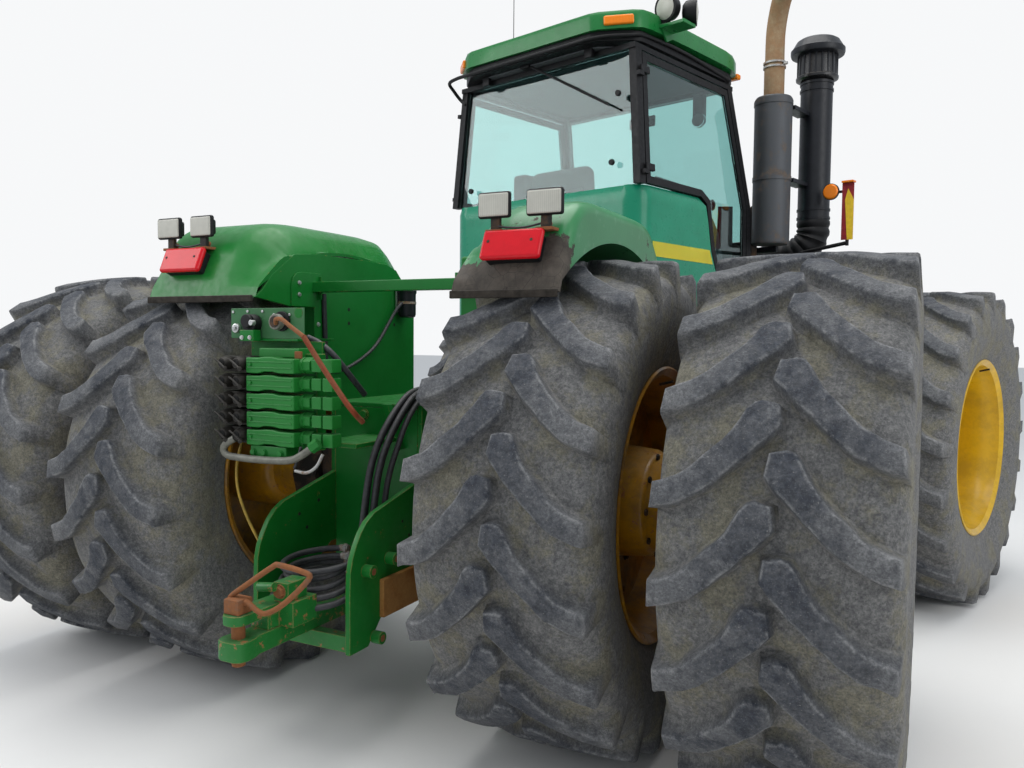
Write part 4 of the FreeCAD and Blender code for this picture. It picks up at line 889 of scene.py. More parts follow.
p = Piece("fender_tube", "rear_half")
p.box((-0.44, 0.590), (-0.265, -0.215), (1.933, 1.983), GREEN, 0.005)
for sign in (1, -1):
    p.box(span(sign, 0.375, 0.44), (-0.222, -0.214), (1.90, 2.01), GREEN, 0.002)
p.done(["fender_bar"])

# Lamps on the fenders
p = Piece("lamps_rear", "rear_half")
for side, sign in SIDES.items():
    x = span(sign, 0.735, 0.985)
    lean = Matrix.Translation((0, -0.598, 1.995)) @ Matrix.Rotation(-0.40, 4, "X")
    p.box((x[0] + 0.012, x[1] - 0.012), (-0.04, 0.02), (0.006, 0.112), BLACK, 0.008, lean)
    p.box(x, (-0.066, -0.036), (0.0, 0.122), RED, 0.014, lean, 4)
    for a in (x[0] + 0.03, x[1] - 0.04):
        p.rod(lean @ Vector((a, -0.064, 0.07)), lean @ Vector((a, -0.068, 0.07)), 0.006, DARK, 12, 0.001)
    for low, high in ((0.700, 0.838), (0.905, 1.055)):
        a, b = span(sign, low, high)
        p.box((a, b), (-0.600, -0.575), (2.176, 2.276), BLACK, 0.011, segments=3)
        p.box((a + 0.02, b - 0.02), (-0.58, -0.545), (2.19, 2.262), BLACK, 0.012, segments=3)
        p.box((a + 0.006, b - 0.006), (-0.604, -0.59), (2.183, 2.269), LAMP, 0.006, segments=3)
        mid = (a + b) / 2
        p.box((mid - 0.02, mid + 0.02), (-0.585, -0.565), (2.13, 2.182), DARK, 0.004)
        p.box((mid - 0.035, mid + 0.035), (-0.60, -0.52), (2.122, 2.134), RUST, 0.002)
        p.post(mid, (-0.575, -0.545), 2.15, 0.012, RUST, 12, 0.001)
    wire = [
        (sign * 0.77, -0.58, 2.15), (sign * 0.82, -0.585, 2.14), (sign * 0.89, -0.58, 2.138),
        (sign * 0.96, -0.575, 2.15)
    ]
    p.tube(wire, 0.004, HOSE, 8, 4)
p.done(["rear_lamps"])

# Remote valves
p = Piece("valves", "rear_half")
VALVE_Z, VALVE_STEP = 1.298, 0.076
SPOOL_Y = -0.722
CAP = [(0.0, 0.0), (0.0, 0.020), (0.004, 0.024), (0.026, 0.030), (0.045, 0.030)]  # a coupler's dust cap
p.box((-0.315, 0.0), (-0.70, -0.64), (1.245, 1.65), GREEN_WORN, 0.006)
BODY = [
    (-0.311, -0.036), (-0.311, 0.030), (-0.245, 0.030), (-0.21, 0.034), (-0.165, 0.034), (-0.13, 0.028),
    (-0.05, 0.028)
]
BODY += [(-0.05, -0.034), (-0.13, -0.034), (-0.165, -0.028), (-0.21, -0.028), (-0.245, -0.036)]
for k in range(5):
    z = VALVE_Z + VALVE_STEP * k
    p.slab("xz", [(x, z + v) for x, v in BODY], -0.785, -0.655, VALVE, 0.006, segments=3)
    for dz in (-0.012, 0.012):
        p.box((-0.305, -0.06), (-0.788, -0.78), (z + dz - 0.003, z + dz + 0.003), VALVE, 0.002)
    p.box((-0.47, -0.311), (-0.755, -0.65), (z - 0.034, z + 0.034), COUPLER, 0.005)
    for x in (-0.435, -0.352):
        p.turned("y", CAP, (x, -0.80, z + 0.004), COUPLER, 24)
        # dark disc in the coupler's mouth: painted shade
        p.post(x, (-0.799, -0.803), z + 0.004, 0.015, HOLE_SHADE, 20, 0)
        p.tube(
            [(x - 0.028, -0.812, z + 0.022), (x, -0.812, z + 0.006), (x + 0.03, -0.814, z - 0.014)], 0.0042,
            COUPLER, 8, 3
        )
        p.rod((x + 0.016, -0.795, z - 0.016), (x + 0.036, -0.815, z - 0.021), 0.009, COUPLER, 12)
    p.post((-0.05, -0.035), -0.722, z, 0.034, VALVE, 24)
    p.post((-0.037, 0.004), -0.722, z, 0.034, VALVE, 6, 0.003)
    p.post((0.002, 0.012), -0.722, z, 0.020, VALVE, 16)
    p.box((0.0105, 0.063), (-0.75, -0.695), (z - 0.026, z + 0.026), VALVE, 0.006)
    p.post((0.060, 0.072), -0.722, z, 0.022, COUPLER, 6, 0.002)
    p.box((0.0695, 0.122), (-0.752, -0.69), (z - 0.028, z + 0.028), VALVE, 0.006)
    p.bolt((-0.285, -0.785, z), (0, -1, 0), 0.008, VALVE, washer=False)
p.box((-0.28, -0.06), (-0.74, -0.64), (1.632, 1.672), VALVE, 0.006)
p.box((-0.08, -0.045), (-0.745, -0.735), (1.63, 1.66), RUST, 0.002)
p.box((-0.30, -0.10), (-0.775, -0.64), (1.205, 1.262), VALVE, 0.008)
for x in (-0.28, -0.22, -0.13):
    p.bolt((x, -0.775, 1.232), (0, -1, 0), 0.013, VALVE)
p.done(["valve_stack"])

p = Piece("pipes", "rear_half")
GREY_PIPE = [
    (-0.372, -0.79, 1.285), (-0.41, -0.80, 1.262), (-0.428, -0.80, 1.235), (-0.405, -0.80, 1.213),
    (-0.35, -0.80, 1.207), (-0.2, -0.80, 1.206), (-0.06, -0.80, 1.215), (0.0, -0.795, 1.24),
    (0.05, -0.785, 1.275)
]
p.tube(GREY_PIPE, 0.0155, PIPE, 14, 4)
p.rod((0.04, -0.787, 1.268), (0.072, -0.775, 1.292), 0.024, VALVE, 6, 0.002)
p.tube(
    [(-0.03, -0.80, 1.175), (0.03, -0.80, 1.172), (0.08, -0.80, 1.20), (0.105, -0.79, 1.25)], 0.007, STEEL,
    10, 4
)
p.tube([(-0.02, -0.775, 1.27), (-0.035, -0.78, 1.22), (-0.06, -0.77, 1.18)], 0.006, HOSE, 10, 4)
p.tube(
    [
        (-0.116, -0.62, 1.717), (-0.053, -0.62, 1.693), (0.009, -0.61, 1.648), (0.05, -0.55, 1.56),
        (0.055, -0.45, 1.47)
    ],
    0.0135, HOSE, 12, 4
)
p.done()

# Connector plate above the valves
p = Piece("connectors", "rear_half")
p.box((-0.488, -0.076), (-0.69, -0.684), (1.712, 1.842), PLATE, 0.002)
p.box((-0.39, -0.11), (-0.69, -0.62), (1.70, 1.712), GREEN, 0.003)
p.post(-0.345, (-0.69, -0.735), 1.775, 0.040, BLACK, 28, 0.006)
p.box((-0.385, -0.305), (-0.745, -0.70), (1.70, 1.748), GREEN, 0.004)
p.post(-0.345, (-0.735, -0.752), 1.785, 0.030, BLACK, 24, 0.006)
p.post(-0.31, (-0.735, -0.757), 1.778, 0.012, SILVER, 16)
for x in (-0.37, -0.325):
    p.bolt((x, -0.746, 1.715), (0, -1, 0), 0.008, SILVER)
p.post(-0.190, (-0.69, -0.705), 1.785, 0.042, BLACK, 28)
p.post(-0.198, (-0.705, -0.735), 1.782, 0.034, PIPE, 28, 0.006)
p.post(-0.198, (-0.734, -0.737), 1.782, 0.024, DARK, 24, 0.001)
p.post(-0.445, (-0.69, -0.712), 1.755, 0.021, SILVER, 28, 0.006)
p.post(-0.445, (-0.71, -0.72), 1.755, 0.010, SILVER, 6, 0.002)
p.post(-0.105, (-0.6905, -0.6912), 1.82, 0.022, GREEN_WORN, 28, 0)
for x, z in ((-0.388, 1.828), (-0.303, 1.828), (-0.238, 1.813), (-0.152, 1.813), (-0.473, 1.826)):
    p.bolt((x, -0.69, z), (0, -1, 0), 0.0065, SILVER, washer=False)
RED_RUN = [
    (-0.185, -0.74, 1.775), (-0.15, -0.775, 1.792), (-0.105, -0.79, 1.79), (-0.06, -0.795, 1.765),
    (0.018, -0.80, 1.721)
]
RED_RUN += [(0.114, -0.80, 1.60), (0.221, -0.80, 1.475), (0.262, -0.79, 1.424), (0.264, -0.74, 1.385)]
p.tube(RED_RUN[:5], 0.009, RUST, 10, 4)
p.tube(RED_RUN[4:], 0.011, RED_ROD, 12, 4)
p.done(["connector_plate"])

p = Piece("filter", "rear_half")
FILTER = (-0.346, 0.47, 0)
BOWL_FORM = [(1.83, 0.0), (1.83, 0.034), (1.836, 0.044), (1.85, 0.048), (1.96, 0.048), (1.966, 0.052)]
p.turned("z", BOWL_FORM + [(1.985, 0.052)], FILTER, BLACK_PAINT, 40)
p.turned("z", [(1.905, 0.045), (1.905, 0.0505), (1.918, 0.0505), (1.918, 0.045)], FILTER, STEEL, 36)
p.box((-0.40, -0.29), (0.41, 0.53), (1.985, 2.005), GREEN, 0.004)
p.box((-0.392, -0.382), (0.42, 0.46), (1.86, 1.985), SILVER, 0.002)
p.done(["fuel_filter"])

# Cords
def cord_line(name, route, diameter, look):
    """one open smooth line, its route's points as control points, in the row's frame"""
    curve = bpy.data.curves.new(name, "CURVE")
    curve.dimensions = "3D"
    curve.resolution_u = 6
    curve.bevel_depth = diameter / 2
    curve.bevel_resolution = 4
    curve.use_fill_caps = True
    line = curve.splines.new("NURBS")
    line.points.add(len(route) - 1)
    for spot, q in zip(line.points, route):
        spot.co = (*(REAR @ q), 1)
    line.order_u = 3
    line.use_endpoint_u = True
    curve.materials.append(look)
    o = add(name, curve)
    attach(o, "rear_half")
    return o


FUEL_RUN = (
    (-0.346, 0.435, 1.915), (-0.352, 0.40, 1.90), (-0.375, 0.33, 1.79), (-0.375, 0.225, 1.674),
    (-0.375, 0.081, 1.598), (-0.37, -0.067, 1.551), (-0.30, -0.22, 1.548), (-0.16, -0.42, 1.565),
    (-0.10, -0.53, 1.575), (-0.06, -0.615, 1.58),
)
CABLE_RUN = (
    (-0.40, -0.72, 1.262), (-0.404, -0.735, 1.22), (-0.396, -0.76, 1.15), (-0.376, -0.775, 1.061),
    (-0.33, -0.77, 0.95), (-0.285, -0.755, 0.86), (-0.262, -0.735, 0.80), (-0.256, -0.72, 0.765),
)
for name, length, thick, look, run in (
    ("filter_hose", 1.27, 0.018, HOSE, FUEL_RUN),
    ("yellow_cable", 0.57, 0.012, CORD_YELLOW, CABLE_RUN),
):
    route = [Vector(q) for q in run]
    cord = cord_line(name, route, thick, look)

# Hoses from the deck to the coil over the drawbar: each one's length, and its points in millimetres
ROUTES = [
    (2.27, [
        (200, 300, 1440), (200, 110, 1440), (200, -80, 1461), (200, -305, 1470), (198, -430, 1385),
        (190, -525, 1285), (178, -572, 1170), (168, -590, 1030), (163, -600, 900), (165, -640, 790),
        (165, -743, 722), (68, -840, 700), (-68, -840, 695), (-165, -743, 705), (-165, -607, 722),
        (-68, -510, 735), (40, -507, 742),
    ]),
    (2.37, [
        (228, 300, 1440), (228, 110, 1440), (228, -80, 1456), (228, -300, 1466), (224, -415, 1380),
        (216, -505, 1270), (204, -548, 1155), (194, -565, 1020), (187, -575, 885), (186, -620, 765),
        (185, -752, 690), (77, -860, 668), (-77, -860, 662), (-185, -752, 672), (-185, -598, 690),
        (-77, -490, 703), (30, -487, 712),
    ]),
    (2.46, [
        (256, 300, 1440), (256, 110, 1440), (256, -80, 1452), (256, -300, 1464), (251, -405, 1375),
        (240, -470, 1245), (220, -505, 1130), (211, -523, 1000), (212, -540, 870), (212, -590, 745),
        (200, -758, 655), (83, -875, 635), (-83, -875, 630), (-200, -758, 640), (-200, -592, 655),
        (-83, -475, 670), (20, -472, 680),
    ]),
    (2.17, [
        (214, 300, 1465), (214, 110, 1465), (214, -80, 1485), (214, -320, 1494), (211, -455, 1400),
        (203, -552, 1290), (191, -598, 1172), (180, -617, 1030), (172, -627, 900), (160, -660, 812),
        (150, -735, 762), (60, -815, 738), (-60, -815, 733), (-148, -735, 738), (-148, -625, 748),
        (-62, -530, 760), (36, -528, 768),
    ]),
    (2.2, [
        (242, 300, 1465), (242, 110, 1465), (242, -80, 1482), (242, -315, 1490), (238, -440, 1392),
        (229, -530, 1278), (217, -575, 1160), (207, -592, 1020), (200, -602, 890), (192, -640, 825),
        (178, -735, 790), (70, -835, 772), (-70, -835, 768), (-160, -735, 770), (-160, -620, 780),
        (-66, -520, 792), (20, -520, 798),
    ]),
]
HOSE_THICK = 0.026
p = Piece("hose_block", "rear_half")
p.box((0.184, 0.272), (0.300, 0.360), (DECK_TOP, 1.485), VALVE, 0.005)
p.done()
for k, (length, points) in enumerate(ROUTES):
    route = [Vector(q) / 1000 for q in points]
    hose = cord_line(f"hose_{k + 1}", route, HOSE_THICK, HOSE)
    p = Piece(f"hose_tips_{k + 1}", "rear_half")
    for a, b in ((route[0], route[1]), (route[-1], route[-2])):
        along = (b - a).normalized()
        p.rod(a - along * 0.001, a + along * 0.045, 0.0155, STEEL, 20, 0.002)
        p.rod(a + along * 0.004, a + along * 0.022, 0.0205, STEEL, 6, 0.002)
    tips = p.done()


def dress(look, *names):
    """the source's own nodes in a look"""
    for name in names:
        for slot in NODES[name].material_slots:
            slot.material = look


# Cab
CAB_HALF, CAB_REAR = 0.8, 1.53
FLOOR_Z, SILL = 1.86, 2.64
CORNER_Y, CORNER_R = 1.66, 0.13  # the rear corners' rounding
WALL = 0.045
QUARTER = ((1.86, 2.58), (2.06, 2.50), (2.31, 2.37), (2.50, 2.325), (2.60, 2.29), (2.64, 2.23))  # z, y


def quarter_y(z):
    """where the panel ends ahead, at the door"""
    for (a, ya), (b, yb) in zip(QUARTER, QUARTER[1:]):
        if z <= b:
            return ya + (yb - ya) * (z - a) / (b - a)
    return QUARTER[-1][1]


def cab_body():
    p = Piece("cab_body", "front_half", FRONT)
    plan = [(0.0, CAB_REAR), (0.35, CAB_REAR), (0.66, 1.532)]
    for k in range(7):
        a = math.pi / 2 * k / 6
        plan.append((0.67 + CORNER_R * math.sin(a), CORNER_Y - CORNER_R * math.cos(a)))
    for sign in (1, -1):
        bm = bmesh.new()
        outer, inner = [], []
        for step in range(17):
            z = FLOOR_Z + (SILL - FLOOR_Z) * step / 16
            row = list(plan)
            for k in range(1, 7):
                row.append((CAB_HALF, CORNER_Y + (quarter_y(z) - CORNER_Y) * k / 6))
            pull = 0.02 if z > SILL - 0.03 else 0.0
            rows = [[], []]
            for x, y in row:
                rows[0].append((x - (pull if x > 0.7 else 0), y + (pull if x < 0.7 else 0)))
                rows[1].append((max(x - WALL, 0), y + (WALL if x < 0.75 else 0)))
            for sheet, spots in zip((outer, inner), rows):
                sheet.append([bm.verts.new((sign * x, y, z)) for x, y in spots])
        for skin in (outer, inner):
            for a, b in zip(skin, skin[1:]):
                for j in range(len(a) - 1):
                    bm.faces.new([a[j], a[j + 1], b[j + 1], b[j]])
        for a, b in zip(zip(outer, inner), zip(outer[1:], inner[1:])):
            bm.faces.new([a[0][-1], a[1][-1], b[1][-1], b[0][-1]])
        for a, b in ((outer[0], inner[0]), (outer[-1], inner[-1])):
            for j in range(len(a) - 1):
                bm.faces.new([a[j], b[j], b[j + 1], a[j + 1]])
        bmesh.ops.remove_doubles(bm, verts=bm.verts, dist=1e-5)
        p.take(bm, TEAL)
        stripe = bmesh.new()
        rows = []
        for z in (2.222, 2.312):
            x = CAB_HALF + 0.0016
            rows.append([stripe.verts.new((sign * x, y, z)) for y in (1.67, 2.0, quarter_y(z) - 0.02)])
        for j in range(2):
            stripe.faces.new([rows[0][j], rows[0][j + 1], rows[1][j + 1], rows[1][j]])
        bmesh.ops.solidify(stripe, geom=stripe.faces, thickness=0.001)
        p.take(stripe, STRIPE)
    floor_half = [(0.8, 1.53), (0.8, 2.79), (0.57, 2.79), (0.57, 2.96)]
    floor_plan = [(-0.8, 1.53)] + floor_half + [(-x, y) for x, y in floor_half[:0:-1]]
    p.slab("xy", floor_plan, 1.80, FLOOR_Z, BLACK, 0.006)
    front = [(0.57, 1.86), (0.57, 1.96), (0.75, 1.96), (0.75, 2.42)]
    front = [(-0.57, 1.86)] + front + [(-x, z) for x, z in front[:0:-1]]
    p.slab("xz", front, 2.90, 2.96, BLACK, 0.006)
    for sign in (1, -1):
        p.box(span(sign, 0.255, 0.43), (2.50, 2.95), (1.64, 1.80), BLACK, 0.006)
    p.done(["cab_base"])


cab_body()

EDGE = [
    (0.0, 1.405), (0.30, 1.402), (0.50, 1.403), (0.56, 1.422), (0.72, 1.545), (0.756, 1.60), (0.76, 1.68)
]
EDGE += [
    (0.76, 2.1), (0.76, 2.6), (0.758, 2.70), (0.735, 2.775), (0.69, 2.83), (0.62, 2.853), (0.3, 2.858),
    (0.0, 2.858)
]
HALF_BAND = (  # inward share, z
    (0.0, 3.540), (0.002, 3.622), (0.012, 3.645), (0.06, 3.66), (0.18, 3.672), (0.45, 3.68), (0.70, 3.68),
)
ROOF_Y = 2.13  # the roof's middle


def roof():
    p = Piece("roof", "front_half", FRONT)
    rim = EDGE + [(-x, y) for x, y in EDGE[-2:0:-1]]
    bm = bmesh.new()
    rings = []
    for pull, z in HALF_BAND:
        ring = []
        for x, y in rim:
            lift = 0.03 * min(max((y - 1.40) / 0.35, 0), 1) * (1 - min(max((y - 2.6) / 0.3, 0), 1) * 0.8)
            ring.append(bm.verts.new((x - x * pull, y + (ROOF_Y - y) * pull, z + lift)))
        rings.append(ring)
    skin(bm, rings, caps=False)
    bm.faces.new(rings[-1])
    bm.faces.new(rings[0][::-1])
    p.take(bm, ROOF_GREEN)
    for share_x, share_y, low, high, look, bevel in (
        (0.97, 0.965, 3.485, 3.548, BLACK, 0.008),
        (0.86, 0.86, 3.478, 3.49, LINER, 0.003),
    ):
        sheet = [(x * share_x, ROOF_Y + (y - ROOF_Y) * share_y) for x, y in rim]
        p.slab("xy", sheet, low, high, look, bevel)
    rail = [
        (0.735, 2.68, 3.50), (0.745, 2.1, 3.53), (0.74, 1.66, 3.524), (0.70, 1.55, 3.512),
        (0.54, 1.43, 3.502), (0.30, 1.41, 3.498)
    ]
    rail += [
        (-0.30, 1.41, 3.498), (-0.54, 1.42, 3.50), (-0.66, 1.43, 3.502), (-0.752, 1.45, 3.492),
        (-0.758, 1.50, 3.45), (-0.745, 1.55, 3.40), (-0.70, 1.56, 3.36)
    ]
    p.tube(rail, 0.012, BLACK, 10, 4)
    for sign in (1, -1):
        a, b = Vector((sign * 0.585, 1.437, 3.588)), Vector((sign * 0.725, 1.546, 3.598))
        way = (b - a).normalized()
        turn = Matrix.Translation((a + b) / 2) @ way.to_track_quat("X", "Z").to_matrix().to_4x4()
        p.box(
            (-(b - a).length / 2, (b - a).length / 2), (-0.014, 0.014), (-0.026, 0.028), AMBER, 0.010, turn,
            3
        )
        p.box(span(sign, 0.62, 0.73), (2.81, 2.862), (3.545, 3.582), AMBER, 0.010, segments=3)
    for x, y, z in ((0.62, 1.95, 3.66), (0.30, 1.50, 3.63), (-0.30, 1.50, 3.63)):
        p.bolt((x, y, z), (0, 0, 1), 0.01, ROOF_GREEN)
    p.done(["cab_roof"])


roof()

ROOF_LAMP = Matrix.Translation((0.80, 1.80, 3.712)) @ Matrix.Rotation(math.radians(-9), 4, "Z")
ROOF_LAMP = ROOF_LAMP @ Matrix.Rotation(math.radians(8), 4, "X")
SIDE_LAMP = Matrix.Translation((0.90, 1.90, 3.69)) @ Matrix.Rotation(math.radians(118), 4, "Z")
p = Piece("roof_lamps", "front_half", FRONT)
p.box((0.72, 0.93), (1.76, 1.90), (3.592, 3.614), ROOF_GREEN, 0.005)
p.slab("yz", [(1.76, 3.614), (1.90, 3.614), (1.90, 3.56), (1.84, 3.53)], 0.755, 0.77, ROOF_GREEN, 0.003)
p.post(0.80, 1.80, (3.61, 3.64), 0.012, BLACK, 12)
for look, place, form in (
    (
        BLACK, ROOF_LAMP,
        [(0.055, 0.0), (0.05, 0.045), (0.03, 0.068), (-0.02, 0.082), (-0.035, 0.082), (-0.035, 0.076)]
    ),
    (LAMP, ROOF_LAMP, [(-0.028, 0.077), (-0.040, 0.06), (-0.046, 0.03), (-0.048, 0.0)]),
    (
        BLACK, SIDE_LAMP,
        [(0.06, 0.0), (0.055, 0.045), (0.035, 0.068), (-0.015, 0.078), (-0.03, 0.078), (-0.03, 0.072)]
    ),
    (LAMP, SIDE_LAMP, [(-0.024, 0.072), (-0.034, 0.05), (-0.04, 0.0)]),
):
    p.turned("y", form, (0, 0, 0), look, 32, turn=place)
p.post(0.90, 1.89, (3.60, 3.63), 0.012, BLACK, 12)
p.post(-0.284, 1.60, (3.62, 3.66), 0.010, BLACK, 12)
p.post(-0.284, 1.60, (3.65, 3.99), 0.0025, BLACK, 8, 0)
p.done()

# Window seals and fittings; the panes and posts are the source's
dress(BLACK, "cab_posts", "door_left", "door_right")
dress(GLASS, "cab_glass", "door_glass_left", "door_glass_right")

p = Piece("window_fittings", "front_half", FRONT)
p.tube(
    [(-0.091, 1.512, 3.50), (0.12, 1.506, 3.38), (0.35, 1.504, 3.25), (0.58, 1.505, 3.12)], 0.007, BLACK, 8,
    3
)
p.box((-0.13, -0.05), (1.49, 1.54), (3.47, 3.515), BLACK, 0.008, segments=3)
for x, z in ((-0.60, 2.74), (0.60, 2.78), (0.64, 3.18)):
    p.post(x, (1.53, 1.508), z, 0.018, BLACK, 16, 0.004)
for x in (-0.45, 0.42):
    p.box((x - 0.03, x + 0.03), (1.502, 1.532), (3.43, 3.50), BLACK, 0.006)
p.done()

p = Piece("seat_cover", "front_half", FRONT)
p.box((-0.2, 0.2), (1.98, 2.36), (1.86, 2.24), BLACK, 0.02)
p.box((-0.26, 0.26), (1.90, 2.42), (2.25, 2.37), SEAT, 0.045, segments=4)
back = Matrix.Translation((-0.02, 1.86, 2.30)) @ Matrix.Rotation(0.09, 4, "X")
p.box((-0.25, 0.25), (-0.06, 0.06), (0.0, 0.56), SEAT, 0.055, back, 5)
p.box((-0.30, 0.22), (-0.075, -0.045), (0.05, 0.42), BLACK, 0.012, back, 3)
for sign in (1, -1):
    p.box(span(sign, 0.28, 0.35), (1.95, 2.30), (2.48, 2.53), SEAT, 0.02, segments=3)
p.done(["seat"])

p = Piece("console_column", "front_half", FRONT)
p.slab(
    "yz", [(2.70, 1.86), (2.64, 2.48), (2.72, 2.50), (2.899, 2.33), (2.899, 1.86)], -0.14, 0.14, TRIM, 0.02,
    segments=3
)
p.rod((0, 2.66, 2.48), (0, 2.52, 2.68), 0.03, BLACK, 20)
tilt = Matrix.Translation((0, 2.52, 2.68)) @ Matrix.Rotation(math.radians(-35), 4, "X")
hoop = [2 * math.pi * k / 32 for k in range(33)]
p.tube(
    [tilt @ Vector((0.21 * math.cos(a), 0.21 * math.sin(a), 0)) for a in hoop], 0.014, BLACK, 10,
    straight=True
)
for k in range(3):
    a = 2 * math.pi * k / 3 + 0.5
    p.rod(
        tilt @ Vector((0, 0, 0)), tilt @ Vector((0.2 * math.cos(a), 0.2 * math.sin(a), 0)), 0.012, BLACK, 10
    )
p.box((-0.22, 0.22), (2.62, 2.74), (2.46, 2.62), TRIM, 0.03, segments=3)
p.done(["console"])

DOOR_PANEL = [
    (1.66, 2.665), (1.769, 2.715), (2.168, 2.704), (2.39, 2.608), (2.545, 2.448), (2.62, 2.25), (2.62, 1.95)
]
DOOR_PANEL += [(2.565, 1.95), (2.50, 2.06), (2.37, 2.31), (2.325, 2.50), (2.29, 2.60), (2.23, 2.64)]
DOOR_BASE = [(2.553, 2.628), (2.74, 2.65), (2.76, 1.95), (2.62, 1.95), (2.62, 2.25), (2.545, 2.448)]
for side, sign in SIDES.items():
    p = Piece(f"door_trim_{side}", f"door_{side}", FRONT)
    p.slab("yz", DOOR_PANEL, *span(sign, 0.742, 0.754), DOOR_TRIM, 0.004, segments=3)
    p.slab("yz", DOOR_BASE, *span(sign, 0.738, 0.752), BLACK, 0.004)
    lock = [(0.754, 0.018), (0.754, 0.036), (0.764, 0.036), (0.764, 0.018)]
    p.turned("x", lock, (0, 2.438, 2.622), BLACK, 28, turn=Matrix.Scale(sign, 4, (1, 0, 0)))
    p.box(span(sign, 0.754, 0.760), (2.385, 2.405), (2.36, 2.60), BLACK, 0.002)
    p.done()

p = Piece("cab_inside", "front_half", FRONT)
p.box((-0.56, -0.43), (1.90, 2.30), (2.30, 2.90), BLACK, 0.03, segments=3)
p.box((0.40, 0.44), (2.62, 2.66), (1.90, 2.50), BLACK, 0.01)
p.box((0.36, 0.56), (1.90, 2.40), (1.87, 2.52), TRIM, 0.03, segments=3)
p.rod((0.42, 2.25, 2.52), (0.42, 2.28, 2.66), 0.010, BLACK, 12)
p.rod((0.42, 2.28, 2.65), (0.42, 2.283, 2.70), 0.018, BLACK, 16, 0.006)
p.box((0.48, 0.58), (2.62, 2.66), (3.22, 3.44), BLACK, 0.02, segments=3)
p.post(0.56, (2.60, 2.57), 3.24, 0.05, MIRROR, 24, 0.006)
p.box((-0.10, 0.12), (2.70, 2.72), (3.30, 3.38), BLACK, 0.01, segments=3)
p.done()

# Exhaust and intake
p = Piece("exhaust_stack", "front_half", FRONT)
MX, MY = 0.88, 3.065
MUFFLER_FORM = [(2.40, 0.05), (2.405, 0.12), (2.42, 0.13), (3.42, 0.13), (3.435, 0.12), (3.44, 0.06)]
p.turned("z", MUFFLER_FORM, (MX, MY, 0), MUFFLER, 48)
p.turned("z", [(3.43, 0.06), (3.45, 0.070), (3.66, 0.070), (3.665, 0.06)], (MX, MY, 0), PIPE_CREAM, 36)
for z in (3.64, 3.67):
    p.collar((MX, MY, 0), z, z + 0.012, 0.06, 0.078, STEEL, 36)
BEND = [
    (MX, MY, 3.66), (MX, MY, 3.80), (MX + 0.004, MY, 3.90), (MX + 0.022, MY - 0.012, 3.99),
    (MX + 0.06, MY - 0.045, 4.08), (MX + 0.105, MY - 0.077, 4.14)
]
p.tube(BEND, 0.066, PIPE_CREAM, 28, 4)
end, before = Vector(BEND[-1]), Vector(BEND[-2])
way = (end - before).normalized()
# dark disc on the pipe's end: painted shade for its open inside, which also stands for its soot
p.rod(end - way * 0.004, end + way * 0.0015, 0.060, HOLE_SHADE, 28, 0)
p.post((MX + 0.074, MX + 0.10), MY - 0.01, 3.661, 0.012, STEEL, 6, 0.002)
p.tube(
    [
        (0.73, 3.065, 2.26), (0.73, 3.065, 2.50), (0.732, 3.065, 2.60), (0.76, 3.065, 2.655),
        (0.80, 3.065, 2.67)
    ],
    0.045, DARK, 20, 4
)
p.box((0.43, 0.77), (3.025, 3.105), (2.25, 2.33), DARK, 0.01)
p.box((0.43, 0.90), (3.125, 3.165), (2.36, 2.40), BLACK_PAINT, 0.006)
for z in (2.85, 3.38):
    p.collar((MX, MY, 0), z, z + 0.03, 0.128, 0.134, MUFFLER, 48)
p.done(["exhaust"])

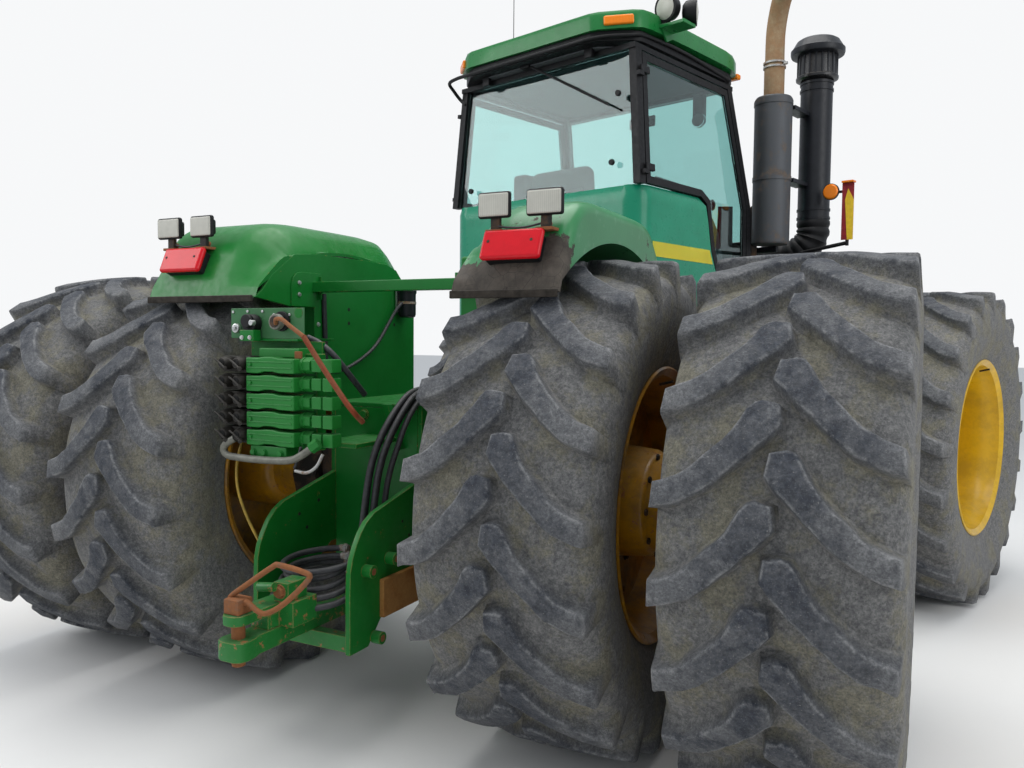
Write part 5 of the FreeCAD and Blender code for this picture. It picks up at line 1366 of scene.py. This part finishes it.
p = Piece("marker", "front_half", FRONT)
p.rod((0.50, 3.40, 2.30), (1.30, 3.40, 2.42), 0.014, BLACK, 12)
p.post(1.30, 3.40, (2.40, 2.82), 0.012, BLACK, 12)
p.box((1.262, 1.345), (3.382, 3.388), (2.44, 2.84), SIGN_RED, 0.001)
p.slab(
    "xz", [(1.305, 2.44), (1.345, 2.44), (1.345, 2.72), (1.305, 2.80), (1.285, 2.72)], 3.379, 3.3825,
    SIGN_YELLOW, 0.0005
)
p.post((1.16, 1.30), 3.40, 2.785, 0.010, BLACK, 10)
p.turned("y", [(3.40, 0.0), (3.40, 0.045), (3.37, 0.058), (3.352, 0.058)], (1.19, 0, 2.785), BLACK, 32)
p.turned("y", [(3.352, 0.054), (3.340, 0.045), (3.335, 0.0)], (1.19, 0, 2.785), AMBER, 32)
p.box((1.262, 1.345), (3.36, 3.42), (2.84, 2.855), AMBER, 0.004)
p.done()

p = Piece("intake_stack", "front_half", FRONT)
IX, IY = 1.0, 3.515
p.turned("z", [(2.60, 0.09), (2.60, 0.113), (3.62, 0.113), (3.625, 0.108)], (IX, IY, 0), BLACK_PAINT, 40)
for z in (2.62, 2.68, 3.55, 3.60):
    p.collar((IX, IY, 0), z, z + 0.016, 0.10, 0.119, BLACK_PAINT, 40)
SCREEN = [(3.62, 0.11), (3.64, 0.148), (3.655, 0.150), (3.665, 0.14), (3.80, 0.136), (3.82, 0.12)]
p.turned("z", SCREEN, (IX, IY, 0), BOWL, 40)
for a in angles(20):
    x, y = IX + 0.138 * math.cos(a), IY + 0.138 * math.sin(a)
    p.post(x, y, (3.66, 3.81), 0.006, BLACK_PAINT, 8, 0)
LID = [
    (3.80, 0.12), (3.815, 0.185), (3.83, 0.19), (3.855, 0.19), (3.865, 0.18), (3.915, 0.15), (3.928, 0.13)
]
p.turned("z", LID + [(3.93, 0.0)], (IX, IY, 0), BLACK_PAINT, 48)
DUCT = [
    (IX, IY, 2.64), (IX, IY, 2.52), (IX - 0.03, IY - 0.01, 2.44), (IX - 0.12, IY - 0.02, 2.37),
    (IX - 0.25, IY - 0.02, 2.34), (0.60, IY, 2.335), (0.43, IY, 2.335),
]
ribs = lambda t: 0.108 + 0.010 * (1 if int(t * 22) % 2 else 0)
p.tube(DUCT, 0.11, BLACK, 32, 6, ring_of=ribs)
for z in (2.85, 3.36):
    p.box((0.9, 1.0), (3.16, 3.42), (z, z + 0.03), BLACK_PAINT, 0.004)
p.done(["intake"])


# The rest of the source's nodes, shown as they are
dress(GREEN, "hood", "hood_side_left", "hood_side_right", "bulkhead", "front_frame")
dress(BLACK, "grille")
dress(DARK, "engine", "rear_axle", "front_axle", "hinge_casting")
dress(GREEN_WORN, "steer_barrel_left", "steer_barrel_right")
dress(SILVER, "steer_rod_left", "steer_rod_right")
